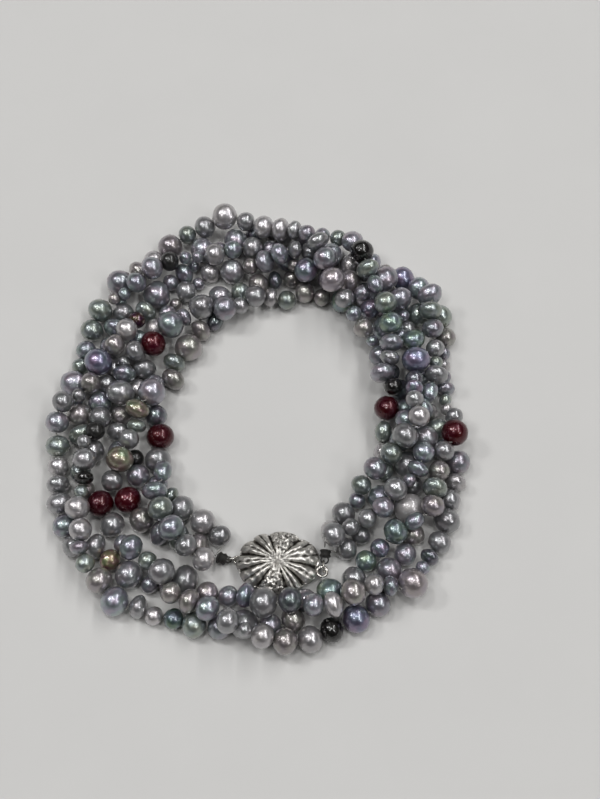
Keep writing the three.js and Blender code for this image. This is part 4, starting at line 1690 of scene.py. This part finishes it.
@dataclass
class FlowerClasp:
    """Cast flower lid on its oval box, with the slot for the tongue and the soldered loop."""

    sectors: int = 288
    steps: int = 8  # rings of the mesh between two rings of the dome
    valley: float = 0.85  # mm, depth of the cut between two petals
    valley_power: float = 0.8  # under 1, which widens the cut towards the petal's middle
    crease_power: float = 0.6  # under 1, so the ribs are round on top with sharp creases between
    crooks: tuple[tuple[float, float, float], ...] = (  # of the ribs' phase, by waves in x and y
        (0.14, 1.1, 0.7),
        (0.1, -0.9, 1.3),
    )
    knot: float = 0.3  # share of the radius that the knot in the middle takes up
    knot_edge: float = 3.0  # how sharply the knot ends
    knot_rings: tuple[tuple[int, float], ...] = (  # grains in a ring of the knot, and its reach
        (1, 0.0),
        (5, 0.75),
        (9, 1.5),
        (13, 2.2),
    )
    knot_width: float = 1.2  # of the knot's rings, to their depth
    knot_height: float = 0.3
    knot_stain: float = 0.35  # of 1 for all dark, as are the next two, which are painted shade
    rim_painted_shade: float = 0.7
    under_painted_shade: float = 0.8
    dark_depth: float = 0.16  # mm under the smoothed relief, from which the oxide is all dark
    smoothings: int = 10
    run_out: float = 0.04  # share of the radius over which the relief ends at the rim
    under_share: float = 0.97  # width of the rim's underside, as a share of the flower's
    seat_share: float = 0.6  # width of the seat on the box, as a share of the underside's
    rib_rise: float = 2.4  # how fast the relief grows from the middle, to a share of the radius
    cut_rise: float = 1.6  # how fast the cuts between the petals do
    lumps: float = 0.11  # mm, unevenness of the ribs
    lump_waves: tuple[tuple[float, float], ...] = ((3.1, 0.8), (2.7, 1.9))  # pace and shift
    grain_radius: float = 0.5
    grain_width: float = 0.9  # share of a petal's angle that its grains cover
    grain_start: float = 0.42  # share of the oval's radius from which grains lie
    grain_reach: float = 0.55  # share of the radius that they cover
    grain_spread: float = 0.3  # by how much a grain is higher or lower than its petal's
    grain_gap: float = 0.62  # least distance between the middles of two grains
    grain_tries: int = 900  # on one petal
    grain_seed: int = 11
    box_sides: int = 96
    box_rings: tuple[tuple[float, float], ...] = (  # height and inset of the box's rings
        (0.0, 0.2),
        (0.15, 0.0),
        (1.1, 0.0),
        (RIM_BOTTOM + 0.1, 0.0),
    )
    slot_half_width: float = 1.9
    slot_bottom: float = 0.85
    slot_top: float = 2.15
    slot_length: float = 5.4
    slot_y: float = 1.2
    petals: tuple[Petal, ...] = (
        Petal(78, 30, 0.5, 3, 0.16, 0.34),
        Petal(20, 27, 0.5, 3, 0.42, 0),
        Petal(-24, 16, 0.5, 2, 0.5, 0),
        Petal(-57, 16, 0.4, 2, 0.55, 0),
        Petal(-102, 28, 0.5, 3, 0.16, 0.34),
        Petal(-149, 19, 0.4, 2, 0.6, 0),
        Petal(-180, 13, 0.4, 2, 0.45, 0),
        Petal(152, 14, 0.4, 2, 0.5, 0),
        Petal(123, 15, 0.5, 2, 0.5, 0),
    )
    dome: tuple[DomeRing, ...] = (
        DomeRing(0.0, 0.78),
        DomeRing(0.18, 0.92),
        DomeRing(0.4, 1.0),
        DomeRing(0.62, 0.86),
        DomeRing(0.82, 0.52),
        DomeRing(0.95, 0.18),
        DomeRing(1.0, 0.0),
    )

    @staticmethod
    def oval_radius(angle: np.ndarray, oval: Oval) -> np.ndarray:
        """Gives an oval's radius at each angle."""
        return 1 / np.hypot(np.cos(angle) / oval.half_width, np.sin(angle) / oval.half_depth)

    def petal_at(self, bearing: float) -> tuple[Petal, float]:
        """Finds the petal at a bearing.

        Args:
            bearing: Degrees round the flower.

        Returns:
            The petal, and the place across it from -1 to 1.
        """
        for petal in self.petals:
            away = (bearing - petal.bearing + 180) % 360 - 180
            if abs(away) <= petal.half_angle:
                return petal, away / petal.half_angle
        return self.petals[0], 1.0

    def grains(self) -> np.ndarray:
        """Scatters the grains of the pebbled petals.

        Returns:
            Rows of x, y and height, in millimetres from the flower's middle.
        """
        dice = Dice(self.grain_seed)
        least = 1 - self.grain_spread
        rows: list[tuple[float, float, float]] = []
        for petal in [petal for petal in self.petals if petal.grain]:
            for _ in range(self.grain_tries):
                away = petal.half_angle * self.grain_width * (2 * dice.roll() - 1)
                bearing = math.radians(petal.bearing + away)
                share = self.grain_start + self.grain_reach * dice.roll()
                reach = share * float(self.oval_radius(np.array(bearing), FLOWER_OVAL))
                x, y = reach * math.cos(bearing), reach * math.sin(bearing)
                height = petal.grain * (least + 2 * self.grain_spread * dice.roll())
                if all(math.hypot(x - a, y - b) > self.grain_gap for a, b, _ in rows):
                    rows.append((x, y, height))
        for count, reach in self.knot_rings:
            for number in range(count):
                bearing = TURN * (number + 0.5 * dice.roll()) / count
                height = self.knot_height * (least + 2 * self.grain_spread * dice.roll())
                x = self.knot_width * reach * math.cos(bearing)
                rows.append((x, reach * math.sin(bearing), height))
        return np.array(rows)

    def relief(self) -> tuple[np.ndarray, np.ndarray]:
        """Works out the flower's upper face.

        Returns:
            Corners as ring by sector by x, y and z, and how dark oxide and painted shade make each.
        """
        count = (len(self.dome) - 1) * self.steps
        places = [number / self.steps for number in range(1, count + 1)]
        radii = [table_value(self.dome, "radius", place) for place in places]
        heights = [table_value(self.dome, "height", place) for place in places]
        bearings = np.arange(self.sectors) * 360 / self.sectors
        angle = np.radians(bearings)
        found = [self.petal_at(float(bearing)) for bearing in bearings]
        across = np.array([place for _, place in found])
        table = np.array([petal for petal, _ in found])
        swell = np.sqrt(np.maximum(0, 1 - across**2))
        reach = self.oval_radius(angle, FLOWER_OVAL) + table[:, 2] * (2 * swell - 1)
        radius = np.array(radii)[:, None]
        x = reach * np.cos(angle) * radius
        y = reach * np.sin(angle) * radius
        ease = np.minimum(1, self.rib_rise * radius)
        # The ribs run a little crooked to the middle.
        crook = sum(turn * np.sin(by_x * x + by_y * y) for turn, by_x, by_y in self.crooks)
        phase = (across + 1) * table[:, 3] * math.pi / 2 + crook
        rib = (np.abs(np.sin(phase)) ** self.crease_power - 0.5) * table[:, 4]
        cut = self.valley * (1 - swell) ** self.valley_power
        z = rib - cut * np.minimum(1, self.cut_rise * radius)
        # The middle is a nubby knot, in which the ribs lose themselves.
        knot = np.clip(self.knot_edge * (1 - radius / self.knot), 0, 1)
        (pace_x, shift_x), (pace_y, shift_y) = self.lump_waves
        z = z + self.lumps * np.sin(pace_x * x + shift_x) * np.sin(pace_y * y + shift_y)
        z = z * (1 - knot)
        for grain_x, grain_y, height in self.grains():
            away = np.hypot(x - grain_x, y - grain_y) / self.grain_radius
            z = z + height * np.sqrt(np.maximum(0, 1 - away**2))
        rim = np.clip((1 - radius) / self.run_out, 0, 1)
        z = z * np.maximum(ease, knot) * rim
        smooth = z.copy()
        for _ in range(self.smoothings):
            around = np.roll(smooth, 2, 1) + np.roll(smooth, -2, 1)
            inner = np.vstack([smooth[:1], smooth[:-1]])
            outer = np.vstack([smooth[1:], smooth[-1:]])
            smooth = (2 * smooth + around + inner + outer) / 6
        oxide_and_shade_share = np.clip((smooth - z) / self.dark_depth, 0, 1)
        oxide_and_shade_share = oxide_and_shade_share * (1 - knot) + self.knot_stain * knot
        # Painted shade darkens the rim's two outer rings.
        oxide_and_shade_share[-2:] = self.rim_painted_shade
        dome = RIM_TOP + (CLASP_HEIGHT - RIM_TOP) * np.array(heights)[:, None]
        corners = np.stack([x, y, z + dome], axis=2)
        return corners, oxide_and_shade_share

    def lid(self, silver: bpy.types.Material) -> bpy.types.Object:
        """Builds the flower with its rim and underside.

        Args:
            silver: Material of the casting.

        Returns:
            The lid.
        """
        corners, oxide_and_shade_share = self.relief()
        outer = corners[-1]
        under = outer * [self.under_share, self.under_share, 0] + [0, 0, RIM_BOTTOM]
        shell = outer * [1.0, 1.0, 0] + [0, 0, (RIM_TOP + RIM_BOTTOM) / 2]
        seat = under * [self.seat_share, self.seat_share, 1]
        grid = np.concatenate([corners, shell[None], under[None], seat[None]])
        # Painted shade darkens the rim's wall, its underside and the seat.
        depth = np.concatenate([oxide_and_shade_share, np.full((3, self.sectors), self.under_painted_shade)])
        middle = CLASP_HEIGHT - (CLASP_HEIGHT - RIM_TOP) * (1 - self.dome[0].height)
        places = [(CLASP_MIDDLE[0], CLASP_MIDDLE[1], middle)]
        places += [
            (CLASP_MIDDLE[0] + x, CLASP_MIDDLE[1] + y, z) for x, y, z in grid.reshape(-1, 3)
        ]
        places.append((CLASP_MIDDLE[0], CLASP_MIDDLE[1], RIM_BOTTOM))
        faces = sweep_faces(len(grid), self.sectors, first=1, turned=True)
        foot = 1 + (len(grid) - 1) * self.sectors
        for sector in range(self.sectors):
            after = (sector + 1) % self.sectors
            faces.append((0, 1 + sector, 1 + after))
            faces.append((len(places) - 1, foot + after, foot + sector))
        flower = new_piece("silver_flower", places, faces, finish=silver)
        # The top's middle is half dark; the bottom's middle gets the underside's painted shade.
        depth = np.concatenate([[0.5], depth.ravel(), [self.under_painted_shade]])
        store(flower.data, "oxide_and_shade_share", "FLOAT", depth)
        return flower

    def box(self, silver: bpy.types.Material) -> bpy.types.Object:
        """Builds the oval box under the lid, with the slot for the tongue.

        Args:
            silver: Material of the casting.

        Returns:
            The box.
        """
        sides = self.box_sides
        angle = np.arange(sides) * TURN / sides
        reach = self.oval_radius(angle, BOX_OVAL)
        places = []
        for height, inset in self.box_rings:
            for bearing, radius in zip(angle, reach):
                length = radius - inset
                x = CLASP_MIDDLE[0] + length * math.cos(bearing)
                places.append((x, CLASP_MIDDLE[1] + length * math.sin(bearing), height))
        faces = [tuple(reversed(range(sides))), *sweep_faces(len(self.box_rings), sides)]
        faces.append(tuple(range(len(places) - sides, len(places))))
        box = new_piece("silver_box", places, faces, finish=silver)
        end = CLASP_MIDDLE[0] - BOX_OVAL.half_width + self.slot_length
        start = end - 2 * self.slot_length
        low_y = CLASP_MIDDLE[1] + self.slot_y - self.slot_half_width
        high_y = low_y + 2 * self.slot_half_width
        outline = [(start, low_y), (end, low_y), (end, high_y), (start, high_y)]
        cutter = extrude("slot_cutter", outline, [(self.slot_bottom, 0), (self.slot_top, 0)])
        cut = box.modifiers.new("Slot", "BOOLEAN")
        cut.operation = "DIFFERENCE"
        cut.solver = "EXACT"
        cut.object = cutter
        bake(box)
        bpy.data.objects.remove(cutter)
        # Only walls are smooth: the slot's floor and roof and both ends of the box stay flat.
        for face in box.data.polygons:
            face.use_smooth = abs(face.normal.z) < 0.5 and len(face.vertices) < 20
        box.data.materials.clear()
        box.data.materials.append(silver)
        return box

    def build(
        self, silver: bpy.types.Material, wire: bpy.types.Material, lines: RoundLines
    ) -> None:
        """Builds the clasp's body, with its soldered loop, and puts it in place of its solid.

        Args:
            silver: Material of the casting.
            wire: Material of the loop.
            lines: What draws the loop.
        """
        points = lines.ring_points(FLOWER_LOOP)
        loop = lines.draw("flower_loop", points, FLOWER_LOOP.wire, wire, closed=True)
        lid = join(self.lid(silver), self.box(silver), loop)
        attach(lid, BODY)
        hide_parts("clasp_flower")
        LOG.info("clasp: %d faces", len(lid.data.polygons))


def extrude(
    name: str,
    outline: Sequence[tuple[float, float]],
    levels: Sequence[tuple[float, float]],
    along_y: bool = False,
    finish: bpy.types.Material | None = None,
) -> bpy.types.Object:
    """Makes a plate from an outline, with edges broken by its levels.

    Args:
        name: Name of the piece.
        outline: Points round the plate, counter-clockwise, in millimetres of the route's frame.
        levels: Heights from the lower face to the upper one, each with its inset.
        along_y: True for an outline in x and z that is drawn out along y.
        finish: Its material, if it has one.

    Returns:
        The plate.
    """
    count = len(outline)
    flat = np.array(outline)
    ahead = np.roll(flat, -1, 0) - flat
    behind = flat - np.roll(flat, 1, 0)
    way = ahead / np.hypot(*ahead.T)[:, None] + behind / np.hypot(*behind.T)[:, None]
    inward = np.stack([-way[:, 1], way[:, 0]], 1) / np.hypot(*way.T)[:, None]
    places = []
    for height, inset in levels:
        for first, second in flat + inset * inward:
            places.append((first, height, second) if along_y else (first, second, height))
    faces = [tuple(reversed(range(count))), *sweep_faces(len(levels), count)]
    faces.append(tuple(range(len(places) - count, len(places))))
    if along_y:
        faces = [tuple(reversed(face)) for face in faces]
    plate = new_piece(name, places, faces, finish=finish)
    plate.data.shade_flat()
    return plate


@dataclass
class Fittings:
    """Spring tongue, jump rings and thread bindings at both ends of the clasp."""

    wire: bpy.types.Material
    thread: bpy.types.Material
    lines: RoundLines
    fold: float = 0.3  # outer radius of the tongue's fold
    fold_steps: int = 12
    fold_start: float = 0.9  # x where the upper leaf of the tongue ends
    fold_end: float = 5.3  # x of the middle of the fold
    sheet: float = 0.25  # thickness of the tongue's sheet
    leaf_half_width: float = 1.5
    neck_half_width: float = 0.5
    neck_end: float = 1.6  # x where the neck is soldered to the leaf
    neck_half_height: float = 0.28
    neck_bevel: float = 0.08
    ring_steps: int = 60
    ring_cut: float = 0.006  # turns, the hairline where a jump ring is closed
    ply: float = 0.17  # radius of the binding thread
    windings: int = 6
    winding_steps: int = 26  # points in one winding
    bare_end: float = 0.06  # share of a binding's length that isn't wound, at each end
    core_sides: int = 24  # of the solid body under the windings
    core_inset: float = 1.2  # radii of the thread, from the windings' outside in to the body
    profile: tuple[tuple[float, float], ...] = (  # of a binding, as shares of length and radius
        (0.0, 0.5),
        (0.12, 1.0),
        (0.4, 0.8),
        (0.6, 0.8),
        (0.88, 1.0),
        (1.0, 0.5),
    )

    def tongue(self) -> bpy.types.Object:
        """Builds the folded spring tongue with its soldered loop.

        Returns:
            The tongue.
        """
        middle = TONGUE_LOOP.z
        outside, inside = self.fold, self.fold - self.sheet
        bends = [
            TURN * (step / self.fold_steps - 0.5) / 2 for step in range(self.fold_steps + 1)
        ]
        outer = [(math.cos(bend) * outside, math.sin(bend) * outside) for bend in bends]
        inner = [(math.cos(bend) * inside, math.sin(bend) * inside) for bend in reversed(bends)]
        side = [(self.fold_start, middle - outside)]
        side += [(self.fold_end + x, middle + z) for x, z in outer]
        side += [(self.fold_start, middle + outside), (self.fold_start, middle + inside)]
        side += [(self.fold_end + x, middle + z) for x, z in inner]
        side.append((self.fold_start, middle - inside))
        low_y = TONGUE_LOOP.y - self.leaf_half_width
        high_y = TONGUE_LOOP.y + self.leaf_half_width
        ends = [(low_y, 0.0), (high_y, 0.0)]
        leaf = extrude("clasp_tongue_leaf", side, ends, along_y=True, finish=self.wire)
        start = TONGUE_LOOP.x + TONGUE_LOOP.radius
        low_y, high_y = TONGUE_LOOP.y - self.neck_half_width, TONGUE_LOOP.y + self.neck_half_width
        neck_end, bevel, top = self.neck_end, self.neck_bevel, self.neck_half_height
        strip = [(start, low_y), (neck_end, low_y), (neck_end, high_y), (start, high_y)]
        steps = ((-top, bevel), (bevel - top, 0.0), (top - bevel, 0.0), (top, bevel))
        levels = [(middle + height, inset) for height, inset in steps]
        neck = extrude("clasp_tongue_neck", strip, levels, finish=self.wire)
        points = self.lines.ring_points(TONGUE_LOOP)
        loop = self.lines.draw("spring_tongue", points, TONGUE_LOOP.wire, self.wire, closed=True)
        return join(loop, leaf, neck)

    def ring(self, name: str, place: RingPlace, start: float) -> bpy.types.Object:
        """Builds a jump ring, bent from wire and closed to a hairline cut."""
        points = self.lines.ring_points(place, self.ring_steps, self.ring_cut, start)
        return self.lines.draw(name, points, place.wire, self.wire)

    def binding(self, name: str, place: BindingPlace, eye: RingPlace) -> bpy.types.Object:
        """Builds a binding: thread wound round the ends of the strands, and its eye.

        Args:
            name: Name of the piece.
            place: Where the wound body is.
            eye: The eye of thread that holds the jump ring.

        Returns:
            The binding.
        """
        start, end = Vector(place.start), Vector(place.end)
        way = (end - start).normalized()
        side = way.cross(Vector((0, 0, 1))).normalized()
        up = side.cross(way)

        def spot(along: float, turns: float, radius: float) -> tuple[float, ...]:
            """Gives a place round the line from the binding's start to its end.

            Args:
                along: Share of the length.
                turns: Bearing in turns.
                radius: Distance from the line.

            Returns:
                The place.
            """
            angle = TURN * turns
            arm = side * math.cos(angle) + up * math.sin(angle)
            return tuple(start + (end - start) * along + arm * radius)

        alongs, radii = zip(*self.profile)
        points = []
        steps = self.windings * self.winding_steps
        for step in range(steps + 1):
            share = self.bare_end + (1 - 2 * self.bare_end) * step / steps
            radius = place.radius * float(np.interp(share, alongs, radii)) - self.ply
            points.append(spot(share, step / self.winding_steps, radius))
        wound = self.lines.draw(name, points, self.ply, self.thread)
        sides = self.core_sides
        core = []
        for along, radius in self.profile:
            reach = place.radius * radius - self.core_inset * self.ply
            core += [spot(along, step / sides, reach) for step in range(sides)]
        faces = [tuple(range(sides)), *sweep_faces(len(self.profile), sides, turned=True)]
        faces.append(tuple(reversed(range(len(core) - sides, len(core)))))
        body = new_piece(f"{name}_core", core, faces, finish=self.thread)
        points = self.lines.ring_points(eye)
        loop = self.lines.draw(f"{name}_eye", points, eye.wire, self.thread, closed=True)
        return join(wound, body, loop)

    def build(self) -> None:
        """Builds all fittings and puts them in place of their solids."""
        left = self.binding("binding_left", BINDING_LEFT, EYE_LEFT)
        right = self.binding("binding_right", BINDING_RIGHT, EYE_RIGHT)
        pieces = (
            (self.tongue(), "clasp_tongue", "silver_wire"),
            (self.ring("ring_left", JUMP_LEFT, 0.1), "jump_ring_left", "silver_wire"),
            (self.ring("ring_right", JUMP_RIGHT, 0.3), "jump_ring_right", "silver_wire"),
            (left, "end_binding_left", "black_thread"),
            (right, "end_binding_right", "black_thread"),
        )
        for piece, node, slot in pieces:
            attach(piece, BODY)
            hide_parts(node)
            LOG.info("%s: %d faces", piece.name, len(piece.data.polygons))


# -------------------------------------------------------------------------------------------------
# Studio
# -------------------------------------------------------------------------------------------------


class Lamp(NamedTuple):
    """A flat lamp under the ceiling: middle, width and depth in metres, and power in watts."""

    x: float
    y: float
    z: float
    width: float
    depth: float
    power: float


@dataclass
class Studio:
    """Plain pale floor that sweeps up at its edge, soft lamps overhead and the camera."""

    target: tuple[float, float, float] = (10.2, 3.5, 6.0)  # mm, what the camera looks at
    elevation: float = 66.0  # degrees
    distance: float = 300.0  # mm, from the target to the camera
    lens: float = 56.0
    floor_sides: int = 96
    sweep: tuple[tuple[float, float], ...] = (  # radius and height of the floor's rings
        (700.0, 0.0),
        (850.0, 12.0),
        (1000.0, 50.0),
        (1150.0, 130.0),
        (1250.0, 240.0),
        (1300.0, 360.0),
    )
    ambient: str = "#0b0b0d"
    lamps: tuple[Lamp, ...] = (
        Lamp(0.0, 0.9, 2.1, 3.4, 2.6, 6.3),
        Lamp(1.0, 0.6, 2.0, 0.25, 3.0, 29.1),
        Lamp(-0.6, 0.4, 2.0, 0.3, 0.3, 7.3),
        Lamp(0.0, 0.0, 2.0, 0.25, 0.25, 4.8),
        Lamp(-1.5, 0.4, 2.0, 0.45, 0.45, 13.6),
        Lamp(-0.7, -0.6, 2.0, 0.3, 0.3, 5.3),
        Lamp(1.8, -1.2, 2.0, 0.5, 0.5, 9.7),
    )

    def build(self, board: bpy.types.Material) -> None:
        """Sets up the floor, the light and the camera.

        Args:
            board: Material of the floor.
        """
        places = []
        for radius, height in self.sweep:
            for side in range(self.floor_sides):
                bearing = TURN * side / self.floor_sides
                places.append((radius * math.cos(bearing), radius * math.sin(bearing), height))
        faces = [tuple(range(self.floor_sides))]
        faces += sweep_faces(len(self.sweep), self.floor_sides, turned=True)
        floor = new_piece("studio_floor", places, faces, finish=board)
        for number, lamp in enumerate(self.lamps, 1):
            light = bpy.data.lights.new(f"lamp_{number}", "AREA")
            light.shape = "RECTANGLE"
            light.size, light.size_y = lamp.width, lamp.depth
            light.energy = lamp.power
            holder = bpy.data.objects.new(light.name, light)
            holder.location = lamp[:3]
            bpy.context.scene.collection.objects.link(holder)
        world = bpy.data.worlds.new("soft_room")
        world.use_nodes = True
        world.node_tree.nodes["Background"].inputs["Color"].default_value = colour(self.ambient)
        bpy.context.scene.world = world
        self.camera()

    def camera(self) -> None:
        """Places the camera."""
        camera = bpy.data.cameras.new("camera")
        camera.lens = self.lens
        camera.clip_start = 0.01
        holder = bpy.data.objects.new("camera", camera)
        tilt = math.radians(self.elevation)
        away = Vector((0, -math.cos(tilt), math.sin(tilt))) * self.distance
        holder.location = (Vector(self.target) + away) * MM
        holder.rotation_euler = (math.pi / 2 - tilt, 0, 0)
        bpy.context.scene.collection.objects.link(holder)
        bpy.context.scene.camera = holder
        bpy.context.scene.view_settings.view_transform = "Standard"


def main() -> None:
    """Builds the necklace's looks piece by piece."""
    Studio().build(PaleBoard().material())
    strands = Settling(BundleRoute(), Stringing()).settle()
    PearlSorter().sort(strands)
    pearls = PearlStrands(strands)
    LOG.info("seats differ from the solids by at most %.4f mm", pearls.seat_error())
    dyes = {
        "pearl_grey": Nacre("dyed_grey_nacre"),
        "pearl_pale": Nacre("pale_nacre", metallic=0.45, roughness=0.42),
        "pearl_violet": Nacre("violet_nacre", overtone=1.0, hue_drift=0.08),
        "pearl_rose": Nacre("rose_nacre", hue_drift=0.1),
        "pearl_peacock": Nacre("peacock_nacre"),
        "pearl_black": Nacre(
            "black_nacre", metallic=0.4, roughness=0.4, coat=0.5, coat_roughness=0.16, relief=0.03
        ),
        "pearl_wine": Nacre(
            "wine_nacre", metallic=0.6, roughness=0.3, coat=0.4, overtone=1.1, hue_drift=0.01
        ),
    }
    nacres = {slot: dye.material() for slot, dye in dyes.items()}
    lines = RoundLines()
    pearls.build(nacres, lines, NylonLine().material())
    wire = DrawnSilver().material()
    FlowerClasp().build(CastSilver().material(), wire, lines)
    Fittings(wire, WaxedThread().material(), lines).build()


if __name__ == "__main__":
    logging.basicConfig(level=logging.INFO, format="%(message)s")
    main()
